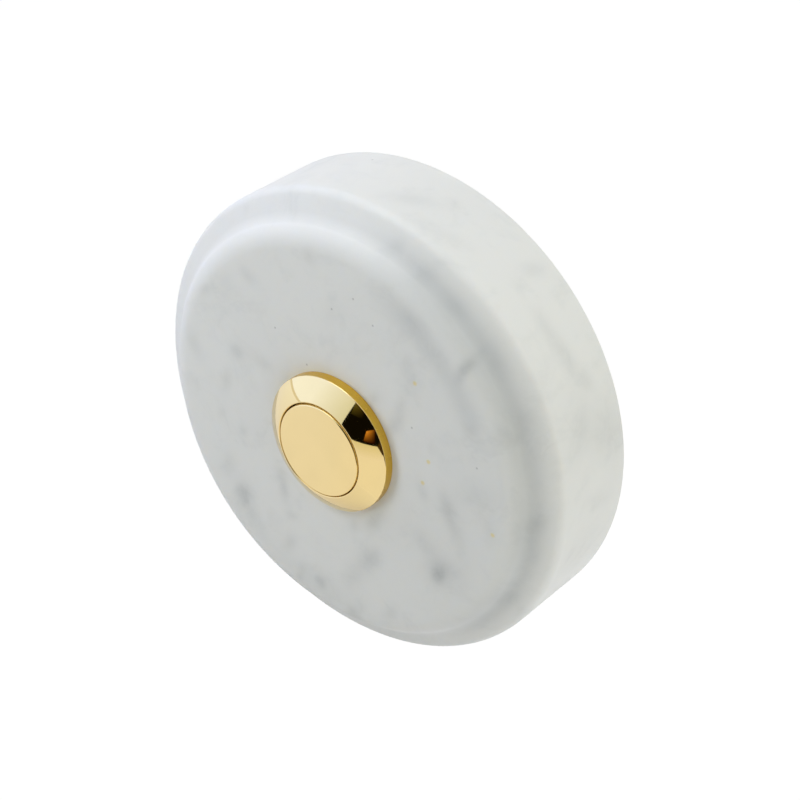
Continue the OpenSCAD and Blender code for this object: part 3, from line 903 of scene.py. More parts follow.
@dataclass(frozen=True)
class StoneDisc:
    """The turned marble disc with its moulded edge and the recess in its back.

    Attributes:
        radius: Outer radius.
        thickness: From the wall to the face.
        face_r: Radius of the flat face.
        side: Height of the straight side.
        rim: Radius of the rounded rim.
        shoulder: Radius of the shoulder round the face.
        cove: Radius of the cove under the shoulder.
        slope: Angle in degrees of the ledge between the cove and the rim.
        recess_r: Radius of the recess.
        recess: Depth of the recess.
        hole_r: Radius of the hole for the barrel.
        face_marks: Heights between which the marks of the face fade in.
        side_marks: Radii between which the marks of the side fade in.
    """

    radius: float = 37.5
    thickness: float = 20.0
    face_r: float = 30.0
    side: float = 14.0
    rim: float = 1.9
    shoulder: float = 3.6
    cove: float = 4.0
    slope: float = 30.0
    recess_r: float = 23.0
    recess: float = 12.0
    hole_r: float = 9.7
    face_marks: Pair = (11.0, 15.5)
    side_marks: Pair = (30.0, 36.0)

    def moulding(self) -> Array:
        """Return the moulded edge: shoulder, cove, sloping ledge and rim, each touching the next.

        The cove's centre lies one cove's radius above the ledge, and stops where it is one
        shoulder plus one cove from the shoulder's centre. Each arc is its centre plus its
        radius times (cos a, sin a), and it ends where its normal is that of the next piece.

        Returns:
            Points as radius and height, from the face to the side.
        """
        shoulder = np.array([self.face_r, self.thickness - self.shoulder])
        rim = np.array([self.radius - self.rim, self.side])
        lean = math.radians(90.0 - self.slope)
        upward = np.array([math.cos(lean), math.sin(lean)])
        along = np.array([-upward[1], upward[0]])
        start = rim + (self.rim + self.cove) * upward
        apart = start - shoulder
        b, c = apart @ along, apart @ apart - (self.shoulder + self.cove) ** 2
        cove = start - (b + math.sqrt(b * b - c)) * along
        turn = math.atan2(*(cove - shoulder)[::-1])

        def arc(centre: Array, radius: float, start: float, stop: float) -> Array:
            """Return an arc's points, with angles in radians."""
            a = np.linspace(start, stop, 15)
            return centre + radius * np.stack([np.cos(a), np.sin(a)], -1)

        return np.concatenate([
            arc(shoulder, self.shoulder, np.pi / 2, turn),
            arc(cove, self.cove, turn + np.pi, lean + np.pi)[1:],
            arc(rim, self.rim, lean, 0.0),
        ])

    def profile(self) -> Array:
        """Return the half section, from the hole over the face, rim and back to the recess.

        Returns:
            Points as radius and height.
        """
        corners = (
            (self.hole_r, self.thickness, 0.0), *[(*point, 0.0) for point in self.moulding()],
            (self.radius, 0.0, 0.4), (self.recess_r, 0.0, 0.15),
            (self.recess_r, self.recess, 1.5), (self.hole_r, self.recess, 0.0),
        )
        return densify(rounded(corners, steps=11), longest=0.5)

    def smudges_and_shade(self, points: Array) -> Array:
        """Add up the grey marks and the painted shade at each point.

        A mark fades as exp(-q / 2), where q is the square of the distance across it, measured
        in half lengths and half widths. Marks of the face fade out down the side, and marks of
        the side fade out towards the axis.

        Args:
            points: Bench points.

        Returns:
            The strength of the marks at each point.
        """
        x, y, z = points.T
        radius, angle = np.hypot(x, y), np.arctan2(y, x)

        def spread(across: Array, along: Array, marks: Array) -> Array:
            """Add up the marks of a table.

            Args:
                across: Distances from the marks along the first direction.
                along: Distances from the marks along the second direction.
                marks: The table.

            Returns:
                The strength at each point.
            """
            lean = np.radians(marks[:, 4])
            u = across * np.cos(lean) + along * np.sin(lean)
            v = along * np.cos(lean) - across * np.sin(lean)
            apart = (u / marks[:, 2]) ** 2 + (v / marks[:, 3]) ** 2
            return (marks[:, 5] * np.exp(-0.5 * apart)).sum(1)

        front = spread(x[:, None] - FACE_SMUDGES_AND_SHADE[:, 0], y[:, None] - FACE_SMUDGES_AND_SHADE[:, 1], FACE_SMUDGES_AND_SHADE)
        turn = angle[:, None] - np.radians(SIDE_SMUDGES[:, 0])
        arc = self.radius * np.arctan2(np.sin(turn), np.cos(turn))
        side = spread(arc, z[:, None] - SIDE_SMUDGES[:, 1], SIDE_SMUDGES)
        return front * smooth_step(z, *self.face_marks) + side * smooth_step(radius, *self.side_marks)

    def build(self, finishes: Finishes) -> None:
        """Make the disc and store its grey marks with painted shade, its painted bands and where it is left
        sawn.

        Args:
            finishes: The part's materials by their slots.
        """
        place = Place(Body.DISC, "marble", "marble_body")
        piece = make_piece("marble_disc", [lathe(self.profile(), turns=360)], finishes, place)
        points = bench_points(piece)
        x, y, z = points.T
        radius = np.hypot(x, y)
        bands = sum(band.share(radius, np.arctan2(y, x)) for band in PAINTED_BANDS)
        back = (z < NEAR) | ((radius < self.recess_r + NEAR) & (z < self.recess + NEAR))
        store(piece, "smudge_and_shade", self.smudges_and_shade(points))
        store(piece, "painted_bands", bands * smooth_step(z, *self.face_marks))
        store(piece, "sawn", back.astype(float))


@dataclass(frozen=True)
class Groove:
    """A turned groove.

    Attributes:
        radius: Radius of its floor.
        low: Distance of its rear end from the wall.
        high: Distance of its front end from the wall.
    """

    radius: float
    low: float
    high: float

    def corners(self, edge: float) -> tuple[Corner, ...]:
        """Return its four sharp corners from front to rear, in a side of radius edge."""
        return ((edge, self.high, 0.0), (self.radius, self.high, 0.0),
                (self.radius, self.low, 0.0), (edge, self.low, 0.0))


@dataclass(frozen=True)
class BellHousing:
    """The gold housing of the bell push, with its bezel and its threaded barrel.

    Attributes:
        face: Distance of the stone's face from the wall.
        bezel_r: Radius of the bezel.
        side: Height of the bezel's straight side.
        top: Distance of the bezel's top from the wall.
        crown: How far the bezel's cone bulges.
        bore: Radius of the bore for the button.
        seal_r: Outer radius of the groove for the bezel's seal.
        seal: Depth of that groove.
        barrel_r: Radius of the threaded barrel.
        barrel: Distance of the barrel's end from the wall.
        lead: Bevel at the barrel's end.
        pitch: Pitch of the thread.
        thread: Depth of the thread.
        thread_top: Distance from the wall where the thread begins.
        thread_ends: Distances from each end of the thread where it starts and is full.
        inside_r: Radius inside the barrel.
        ring: Groove of the snap ring.
        partition: Distances of the inner partition's rear and front from the wall.
        stem_hole: Radius of the hole for the button's stem.
    """

    face: float = 20.0
    bezel_r: float = 11.0
    side: float = 1.5
    top: float = 23.65
    crown: float = 0.14
    bore: float = 7.6
    seal_r: float = 10.6
    seal: float = 0.8
    barrel_r: float = 9.5
    barrel: float = 7.0
    lead: float = 0.35
    pitch: float = 1.0
    thread: float = 0.42
    thread_top: float = 12.4
    thread_ends: Pair = (0.1, 0.8)
    inside_r: float = 7.8
    ring: Groove = Groove(radius=8.25, low=7.65, high=8.45)
    partition: Pair = (13.5, 15.5)
    stem_hole: float = 2.55

    def cone(self) -> Array:
        """Return the bezel's bulging cone: its chord raised by 4 * crown * s * (1 - s).

        Returns:
            Points as radius and height.
        """
        s = np.linspace(0.0, 1.0, 26)[:, None]
        inner = np.array([self.bore, self.top])
        run = np.array([self.bezel_r, self.face + self.side]) - inner
        out = unit(np.array([-run[1], run[0]]))
        return inner + s * run + 4 * self.crown * s * (1 - s) * out

    def front(self) -> Array:
        """Return the bezel's section from the bore's edge to the groove of its seal.

        Returns:
            Points as radius and height.
        """
        cone = self.cone()
        groove = self.face + self.seal
        corners = [
            (self.bore, self.top - 1.0, 0.0), (*cone[0], 0.12), *[(*point, 0.0) for point in cone[2:-2]],
            (*cone[-1], 0.20), (self.bezel_r, self.face, 0.06), (self.seal_r, self.face, 0.0),
            (self.seal_r, groove, 0.0), (self.barrel_r, groove, 0.0), (self.barrel_r, self.face - 1.0, 0.0),
        ]
        return rounded(corners, steps=9, margin=0.03)

    def grid(self) -> Grid:
        """Turn the housing and cut its thread.

        The thread draws the barrel in by depth * (1 - |2 * p - 1|), where the phase p counts
        turns plus heights in pitches; it fades in over the ends of the thread.

        Returns:
            The closed surface.
        """
        heights = np.arange(self.thread_top, self.barrel + 0.3, -0.09)
        barrel = np.stack([np.full_like(heights, self.barrel_r), heights], -1)
        rear, front = self.partition
        inside = rounded((
            (self.barrel_r, self.barrel + self.lead, 0.0), (self.barrel_r - self.lead, self.barrel, 0.0),
            (self.inside_r, self.barrel, 0.1), *self.ring.corners(self.inside_r)[::-1],
            (self.inside_r, rear, 0.0), (self.stem_hole, rear, 0.0), (self.stem_hole, front, 0.0),
            (self.bore, front, 0.0),
        ), steps=5, margin=0.03)
        x, y, z = np.moveaxis(lathe(np.concatenate([self.front(), barrel, inside]), turns=384).points, -1, 0)
        radius = np.hypot(x, y)
        phase = (np.arctan2(y, x) / (2 * np.pi) + z / self.pitch) % 1.0
        on_barrel = np.abs(radius - self.barrel_r) < 1e-6
        fade = smooth_step(z - self.barrel, *self.thread_ends)
        fade = fade * smooth_step(self.thread_top - z, *self.thread_ends)
        depth = self.thread * (1 - np.abs(2 * phase - 1)) * fade * on_barrel
        scale = 1 - depth / np.maximum(radius, 1e-9)
        return Grid(np.stack([x * scale, y * scale, z], -1))

    def build(self, finishes: Finishes) -> None:
        """Make the housing and store where its straight side and its bore's wall are.

        Args:
            finishes: The part's materials by their slots.
        """
        place = Place(Body.DISC, "gold_bezel", "switch_housing")
        piece = make_piece("bell_housing", [self.grid()], finishes, place)
        x, y, z = bench_points(piece).T
        radius = np.hypot(x, y)
        side = (radius > self.bezel_r - SKIN) & (z < self.face + self.side - NEAR)
        wall = (radius < self.bore + SKIN) & (z > self.partition[1] + NEAR)
        # The straight side and the bore's wall take the gold's painted shade; the wall also takes the gap's
        # painted light
        store(piece, "turned_side_shade", (side | wall).astype(float))
        store(piece, "in_gap", wall.astype(float))


@dataclass(frozen=True)
class BellButton:
    """The gold button, with its skirt and its stem.

    Attributes:
        radius: Radius of the button.
        top: Distance of its face from the wall.
        crown: Distance of its crown's underside from the wall.
        seal: Groove of its ring seal.
        skirt_r: Radius inside the skirt.
        skirt: Distance of the skirt's end from the wall.
        stem_r: Radius of the stem.
        clip: Groove of the retaining clip.
        stem: Distance of the stem's end from the wall.
        sag: How far the button's rim sits off the middle of the bore.
    """

    radius: float = 7.4
    top: float = 23.65
    crown: float = 21.0
    seal: Groove = Groove(radius=6.7, low=21.8, high=22.6)
    skirt_r: float = 6.3
    skirt: float = 17.55
    stem_r: float = 2.5
    clip: Groove = Groove(radius=1.9, low=12.85, high=13.5)
    stem: float = 11.9
    sag: Pair = (-0.07, -0.12)

    def grid(self) -> Grid:
        """Turn the button: face, rounded edge, seal groove, skirt and stem.

        The rim above the seal groove then shifts by the sag, as play lets it in use.

        Returns:
            The closed surface.
        """
        corners = (
            (0.0, self.top, 0.0), (self.radius, self.top, 0.25), *self.seal.corners(self.radius),
            (self.radius, self.skirt, 0.1), (self.skirt_r, self.skirt, 0.0), (self.skirt_r, self.crown, 0.2),
            (self.stem_r, self.crown, 0.2), *self.clip.corners(self.stem_r), (self.stem_r, self.stem, 0.15),
            (0.0, self.stem, 0.0),
        )
        points = lathe(rounded(corners, steps=9, margin=0.04), turns=320, rows=Rows.OPEN).points
        height, radius = points[..., 2], np.hypot(points[..., 0], points[..., 1])
        above = height - self.seal.high
        rim = (above > NEAR) | ((above > -NEAR) & (radius > self.radius - NEAR))
        return Grid(points + rim[..., None] * np.array([*self.sag, 0.0]), Rows.OPEN)

    def build(self, finishes: Finishes) -> None:
        """Make the button and store where its turned side is.

        Args:
            finishes: The part's materials by their slots.
        """
        place = Place(Body.BUTTON, "gold_button", "push_button")
        piece = make_piece("bell_button", [self.grid()], finishes, place)
        points = bench_points(piece)
        radius = np.hypot(points[:, 0] - self.sag[0], points[:, 1] - self.sag[1])
        # Its side takes the gold's painted shade, and its edge the gap's painted light
        for name, width in (("turned_side_shade", 0.06), ("in_gap", 0.03)):
            store(piece, name, smooth_step(radius, self.radius - width, self.radius))


@dataclass(frozen=True)
class Spring:
    """A coil spring that the button squeezes.

    Attributes:
        name: Name of the piece.
        place: Where it belongs.
        coil_r: Radius of the coil at the wire's centre.
        wire: Diameter of the wire.
        turns: Turns of the coil.
        low: Height of the wire's centre at its start.
        high: Height of the wire's centre at its end.
        seat: Distance of its still end from the wall; not used.
        length: Its length at rest; not used.
        squeeze: How much shorter the pressed button makes it; not used.
    """

    name: str
    place: Place
    coil_r: float
    wire: float
    turns: float
    low: float
    high: float
    seat: float
    length: float
    squeeze: float

    def grid(self) -> Grid:
        """Wind the round wire into a coil with domed ends.

        The wire's centre is (R * cos a, R * sin a, z) with a and z rising evenly. Around it
        lies a circle across the direction of travel, and past each end the circle shrinks
        by cos t while it moves on by sin t, which makes a dome.

        Returns:
            The closed tube.
        """
        steps, sides, dome = int(self.turns * 56), 16, 5
        a = np.linspace(0, 2 * np.pi * self.turns, steps)
        rise = (self.high - self.low) / a[-1]
        tip = np.linspace(np.pi / 2, 0, dome, endpoint=False)
        pick = np.concatenate([np.zeros(dome, int), np.arange(steps), np.full(dome, steps - 1)])
        shift = np.concatenate([-np.sin(tip), np.zeros(steps), np.sin(tip[::-1])])[:, None]
        width = np.concatenate([np.cos(tip), np.ones(steps), np.cos(tip[::-1])])[:, None, None]
        a = a[pick]
        out = np.stack([np.cos(a), np.sin(a), 0 * a], -1)
        centre = self.coil_r * out + (self.low + rise * a)[:, None] * np.array([0.0, 0.0, 1.0])
        along = unit(np.stack([-self.coil_r * np.sin(a), self.coil_r * np.cos(a), rise + 0 * a], -1))
        up = np.cross(along, out)
        b = np.linspace(0, 2 * np.pi, sides, endpoint=False)[None, :, None]
        round_it = np.cos(b) * out[:, None] + np.sin(b) * up[:, None]
        middle = (centre + shift * self.wire / 2 * along)[:, None]
        return Grid(middle + width * self.wire / 2 * round_it, Rows.OPEN)

    def build(self, finishes: Finishes) -> None:
        """Make the spring and give it a mesh of its own.

        Args:
            finishes: The part's materials by their slots.
        """
        piece = make_piece(self.name, [self.grid()], finishes, self.place)
        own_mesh(piece)


RETURN_SPRING = Spring("return_coil", Place(Body.DISC, "spring_steel", "return_spring"), coil_r=4.4, wire=0.7,
                       turns=3.5, low=15.9, high=20.6, seat=15.5, length=5.45, squeeze=2.0)
CONTACT_SPRING = Spring("contact_coil", Place(Body.BUTTON, "spring_steel", "contact_spring"), coil_r=2.1,
                        wire=0.35, turns=2.25, low=8.925, high=10.875, seat=11.1, length=2.4, squeeze=0.5)


@dataclass(frozen=True)
class ContactBlock:
    """The black contact block behind the button, and the snap ring that holds it.

    Attributes:
        cup_r: Radius of the block in the barrel.
        cup: Distances of that part's rear and front from the wall.
        neck_r: Radius of its rear part.
        chamber_r: Radius of the contact chamber.
        rear: Distance of its rear face from the wall.
        floor: Distance of the chamber's floor from the wall.
        barrier: Half the width and half the length of the wall between the terminals.
        barrier_rear: Distance of that wall's rear from the room's wall.
        rib: Length and width of one of the bridge's guides.
        rib_place: Distances of a guide's corner from the middle.
        rib_ends: Distances of a guide's rear and front from the wall.
        ring: Two opposite corners of the snap ring's section, as radius and distance from the wall.
        ring_gap: Half the angle in degrees over which the ring is open at its foot.
    """

    cup_r: float = 7.7
    cup: Pair = (8.45, 13.45)
    neck_r: float = 6.9
    chamber_r: float = 5.9
    rear: float = 3.08
    floor: float = 5.28
    barrier: Pair = (0.45, 5.9)
    barrier_rear: float = 1.18
    rib: Pair = (1.5, 0.9)
    rib_place: Pair = (4.31, 1.95)
    rib_ends: Pair = (4.18, 8.7)
    ring: tuple[Pair, Pair] = ((7.1, 7.7), (8.2, 8.4))
    ring_gap: float = 20.0

    def turned(self) -> Grid:
        """Turn the block with its chamber.

        Returns:
            The block.
        """
        low, high = self.cup
        corners = (
            (self.neck_r, self.rear, 0.25), (self.neck_r, low, 0.0), (self.cup_r, low, 0.1),
            (self.cup_r, high, 0.1), (self.chamber_r, high, 0.1), (self.chamber_r, self.floor, 0.2),
            (0.0, self.floor, 0.0), (0.0, self.rear, 0.0),
        )
        profile = np.roll(rounded(corners, steps=6, margin=0.04), 1, 0)
        return lathe(profile, turns=192, rows=Rows.OPEN)

    def wall(self) -> Grid:
        """Return the wall between the terminals, let into the block's rear face.

        Returns:
            The wall.
        """
        wide, long = self.barrier
        outline = densify(rectangle((-wide, -long), (wide, long), radius=0.2, steps=5), longest=0.4)
        return plate(outline, self.barrier_rear, self.rear + 0.6, soften=0.15)

    def guides(self) -> list[Grid]:
        """Return the bridge's four guides, each the mirror of its neighbours.

        Returns:
            One surface for each guide.
        """
        long, wide = self.rib
        corners = ((0.0, 0.0, 0.08), (long, 0.0, 0.0), (long, wide, 0.0), (0.0, wide, 0.08))
        shape = rounded(corners, steps=4, margin=0.03) + np.array(self.rib_place)
        signs = [(x, y) for x in (-1, 1) for y in (-1, 1)]
        return [plate((shape * (x, y))[::x * y], *self.rib_ends, soften=0.05) for x, y in signs]

    def snap_ring(self) -> Grid:
        """Return the snap ring, open at its foot."""
        gap = math.radians(self.ring_gap)
        return arc_bar(rectangle(*self.ring, radius=0.1), -np.pi / 2 + gap, 1.5 * np.pi - gap, steps=120)

    def build(self, finishes: Finishes) -> None:
        """Make the block and its ring.

        Args:
            finishes: The part's materials by their slots.
        """
        grids = [self.turned(), self.wall(), *self.guides()]
        make_piece("contact_block", grids, finishes, Place(Body.DISC, "black_moulding", "switch_base"))
        place = Place(Body.DISC, "plated_steel", "base_retainer")
        make_piece("snap_ring", [self.snap_ring()], finishes, place)


@dataclass(frozen=True)
class WireTerminals:
    """The two square clamps that hold the bell wires, and their slotted screws.

    Attributes:
        screw_x: Distance of a screw from the middle.
        clamp: Distance of a clamp's rear from the wall.
        clamp_half: Half the width of a clamp.
        clamp_t: Thickness of a clamp.
        hole: Radius of a clamp's hole.
        head_r: Radius of a screw's head.
        head: Height of a screw's head.
        dome: How far the head's rim lies below its middle.
        slot: Width of a screw's slot.
        slot_depth: Depth of the slot.
        shank_r: Radius of a screw's thread.
        shank: Distance of a shank's end from the wall.
        pitch: Pitch of the thread.
        thread: Depth of the thread.
    """

    screw_x: float = 3.3
    clamp: float = 1.78
    clamp_half: float = 2.2
    clamp_t: float = 0.7
    hole: float = 1.25
    head_r: float = 1.9
    head: float = 1.2
    dome: float = 0.38
    slot: float = 0.5
    slot_depth: float = 0.6
    shank_r: float = 1.2
    shank: float = 4.78
    pitch: float = 0.45
    thread: float = 0.16

    def head_grid(self) -> Grid:
        """Return a slotted screw head as sections across its slot.

        Section v lies at head radius * sin v and is a loop: up one rim, over the domed top and
        down to the flat under the head. Where the slot runs, the top lies at the slot's floor.

        Returns:
            The closed head, with its middle on the axis.
        """
        sections, across = 13, 19
        half = math.asin(self.slot / 2 / self.head_r)
        v = np.concatenate([np.linspace(-np.pi / 2, -half, sections), [-half, half],
                            np.linspace(half, np.pi / 2, sections)])
        in_slot = np.zeros((len(v), 1), bool)
        in_slot[sections:sections + 2] = True
        y = self.head_r * np.sin(v)[:, None]
        x = np.maximum(self.head_r * np.cos(v), 0.0)[:, None] * np.linspace(-1, 1, across)
        peak = self.clamp - self.head
        domed = peak + self.dome * (np.hypot(x, y) / self.head_r) ** 3
        top = np.where(in_slot, peak + self.slot_depth, domed)
        loop = np.concatenate([x, x[:, ::-1]], 1)
        level = np.concatenate([top, np.full_like(top, self.clamp)], 1)
        return Grid(np.stack([loop, np.broadcast_to(y, loop.shape), level], -1), Rows.OPEN)

    def shank_grid(self) -> Grid:
        """Turn a screw's shank: its radius less thread * |2 * p - 1|, where p counts pitches.

        Returns:
            The closed shank.
        """
        heights = np.linspace(self.clamp - 0.2, self.shank, 60)
        radius = self.shank_r - self.thread * np.abs((heights / self.pitch) % 1.0 * 2 - 1)
        wave = np.stack([radius, heights], -1)
        ends = wave[[0, -1]] * (0.0, 1.0)
        return lathe(np.concatenate([ends[:1], wave, ends[1:]]), turns=40, rows=Rows.OPEN)

    def clamp_grid(self) -> Grid:
        """Return a square clamp with a hole for its screw.

        Returns:
            The clamp, with its middle on the axis.
        """
        half = self.clamp_half
        square = densify(rectangle((-half, -half), (half, half), 0.35, steps=6, margin=0.04), longest=0.3)
        return plate(square, self.clamp, self.clamp + self.clamp_t, 0.12, self.hole * unit(square))

    def build(self, finishes: Finishes) -> None:
        """Make both clamps and both screws.

        Args:
            finishes: The part's materials by their slots.
        """
        pairs = (
            ("clamp_pair", [self.clamp_grid()], Place(Body.DISC, "contact_brass", "wire_clamps")),
            ("screw_pair", [self.head_grid(), self.shank_grid()],
             Place(Body.DISC, "plated_steel", "terminal_screws")),
        )
        for name, grids, place in pairs:
            both = [moved(grid, side * self.screw_x) for side in (-1, 1) for grid in grids]
            make_piece(name, both, finishes, place)


@dataclass(frozen=True)
class FixingStack:
    """The nut and washers that hold the bell push in the stone.

    Attributes:
        thread_r: Radius of the barrel's thread.
        flats: Half the nut's width across flats.
        nut: Distance of the nut's rear from the wall.
        nut_t: Thickness of the nut.
        lock_t: Thickness of the toothed washer.
        fibre_t: Thickness of the fibre washer.
        teeth: Teeth of the lock washer.
        fit: Gap between the thread and the nut.
        lead: Bevel of the nut's bore.
        blunt: How far the nut's corners are cut back.
        play: Gap between the thread and each washer.
    """

    thread_r: float = 9.5
    flats: float = 11.0
    nut: float = 7.5
    nut_t: float = 3.0
    lock_t: float = 0.7
    fibre_t: float = 0.8
    teeth: int = 16
    fit: float = 0.05
    lead: float = 0.35
    blunt: float = 0.1
    play: float = 0.1

    @property
    def corner_r(self) -> float:
        """Radius of the nut's corners."""
        return self.flats / math.cos(math.pi / 6)

    def hexagon(self) -> Grid:
        """Return the nut.

        At angle a the hexagon's radius is flats / cos(a - the nearest flat's angle). Each row
        cuts it to a circle: the bevel's circle grows by its height, and the rest is cut just
        inside the corners.

        Returns:
            The closed surface.
        """
        angle = np.linspace(0, 2 * np.pi, 360, endpoint=False)
        sixth = np.pi / 3
        hexagon = self.flats / np.cos(angle % sixth - sixth / 2)
        bevel = np.linspace(0.0, self.corner_r - self.flats, 12)
        bore = self.thread_r + self.fit
        mouth = bore + self.lead
        low, top, side = self.nut, self.nut + self.nut_t, self.corner_r - self.blunt
        limit = np.concatenate([[bore, mouth], self.flats - self.blunt + bevel,
                                [side, side, side - self.blunt, mouth, bore]])
        level = np.concatenate([[low + self.lead, low], low + bevel,
                                [top - 0.6, top - self.blunt, top, top, top - self.lead]])
        radius = np.minimum(hexagon[None], limit[:, None])
        height = np.broadcast_to(level[:, None], radius.shape)
        return Grid(np.stack([radius * np.cos(angle), radius * np.sin(angle), height], -1))

    def toothed(self) -> Grid:
        """Return the lock washer, with straight-sided teeth round a band.

        Returns:
            The washer.
        """
        tip = self.corner_r - 0.2
        band = (self.thread_r + tip) / 2 + 0.1
        half = np.pi * tip / self.teeth / 2
        foot = math.sqrt(band * band - half * half)
        tooth = np.array([(foot, -half), (tip, -half), (tip, half), (foot, half)])
        turn = np.linspace(0, 2 * np.pi, self.teeth, endpoint=False)[:, None, None]
        x, y = tooth[None, :, :1], tooth[None, :, 1:]
        corners = np.concatenate([x * np.cos(turn) - y * np.sin(turn),
                                  x * np.sin(turn) + y * np.cos(turn)], -1)
        radii = np.tile([0.25, 0.15, 0.15, 0.25], self.teeth)[:, None]
        outline = densify(rounded(np.concatenate([corners.reshape(-1, 2), radii], 1), 4, 0.03), 0.35)
        low = self.nut + self.nut_t
        return plate(outline, low, low + self.lock_t, 0.08, (self.thread_r + self.play) * unit(outline))

    def build(self, finishes: Finishes) -> None:
        """Make the nut and both washers.

        Args:
            finishes: The part's materials by their slots.
        """
        low = self.nut + self.nut_t + self.lock_t
        ring = plate(circle(self.corner_r + 0.3, 300), low, low + self.fibre_t, 0.06,
                     circle(self.thread_r + self.play, 300))
        rows = (
            ("gold_hex_nut", self.hexagon(), Place(Body.DISC, "gold_nut", "hex_nut"), 20.0),
            ("toothed_washer", self.toothed(), Place(Body.DISC, "plated_steel", "lock_washer"), 35.0),
            ("red_fibre_washer", ring, Place(Body.DISC, "fibre", "fibre_washer"), 35.0),
        )
        for name, grid, place, sharp in rows:
            make_piece(name, [grid], finishes, place, sharp)


def dress_nodes(finishes: Finishes) -> None:
    """Give each node that still shows the material of its slot.

    Args:
        finishes: The part's materials by their slots.
    """
    slots = {row["node"]: row["material_slot"] for row in frame["record"]["subparts"]}
    for name, node in frame["nodes"].items():
        if not node.hide_render:
            node.data.materials.clear()
            node.data.materials.append(finishes[slots[name]])
            LOG.info("%s: kept with %s", name, slots[name])


# Studio


def sheet(name: str, points: Array, material: bpy.types.Material,
          unseen_by: Sequence[str]) -> bpy.types.Object:
    """Make an open sheet of the studio.

    Args:
        name: The sheet's name.
        points: Its points in metres, rows by columns by 3.
        material: Its material.
        unseen_by: Kinds of rays that don't meet it.

    Returns:
        The sheet.
    """
    rows, columns = points.shape[:2]
    index = np.arange(rows * columns).reshape(rows, columns)
    quads = np.stack([index[:-1, :-1], index[1:, :-1], index[1:, 1:], index[:-1, 1:]], -1)
    mesh = bpy.data.meshes.new(name)
    mesh.from_pydata(points.reshape(-1, 3).tolist(), [], quads.reshape(-1, 4).tolist())
    mesh.materials.append(material)
    piece = bpy.data.objects.new(name, mesh)
    bpy.context.scene.collection.objects.link(piece)
    for kind in unseen_by:
        setattr(piece, "visible_" + kind, False)
    LOG.info("%s: studio sheet", name)
    return piece


@dataclass(frozen=True)
class Card:
    """A studio card that only shiny metal sees, as a patch of a sphere round the bezel.

    Attributes:
        name: Name of the card.
        corners: Azimuth and elevation in degrees of four corners: low left, low right, high
            right and high left.
        tones: The colours of light at the four corners.
        distance: Distance from the bezel in metres.
    """

    name: str
    corners: tuple[Pair, ...]
    tones: tuple[Colour, ...]
    distance: float

    def build(self) -> None:
        """Make the card.

        Azimuth and elevation blend between the corners in both directions, and a point lies
        at distance * (sin az * cos el, -cos az * cos el, sin el) from the bezel.
        """
        step = np.linspace(0, 1, 25)
        u, v = np.meshgrid(step, step, indexing="ij")
        share = np.stack([(1 - u) * (1 - v), u * (1 - v), u * v, (1 - u) * v], -1)
        az, el = np.moveaxis(np.radians(share @ np.array(self.corners)), -1, 0)
        points = np.stack([np.sin(az) * np.cos(el), -np.cos(az) * np.cos(el), np.sin(el)], -1)
        nodes = Nodes.material(self.name)
        tone = nodes.add("Attribute", attribute_name="light").outputs["Color"]
        nodes.show(nodes.add("Emission", tone, 1.0))
        unseen_by = ("camera", "diffuse", "transmission", "volume_scatter", "shadow")
        card = sheet(self.name, points * self.distance + BEZEL, nodes.owner, unseen_by)
        light = np.concatenate([share @ np.array(self.tones), np.ones((*u.shape, 1))], -1)
        layer = card.data.color_attributes.new("light", "FLOAT_COLOR", "POINT")
        layer.data.foreach_set("color", light.astype(np.float32).ravel())


@dataclass(frozen=True)
class Glow:
    """A broad soft light far away.

    Attributes:
        towards: Where its light comes from, as a row direction.
        tone: Its colour times its strength.
        spread: Power that its light falls off with, of the cosine to its middle.
    """

    towards: Corner
    tone: Colour
    spread: float = 5.0

    def build(self, nodes: Nodes) -> Socket:
        """Return the light from the direction that is asked for.

        Args:
            nodes: The world's nodes.

        Returns:
            tone * max(0, cosine) ** spread.
        """
        middle = unit(np.array(self.towards)).tolist()
        cosine = nodes.add("VectorMath", nodes.place, middle, operation="DOT_PRODUCT").outputs["Value"]
        scale = nodes.add("VectorMath", self.tone, operation="SCALE")
        level = nodes.math("POWER", nodes.math("MAXIMUM", cosine, 0.0), self.spread)
        nodes.feed(scale.inputs["Scale"], level)
        return scale.outputs[0]


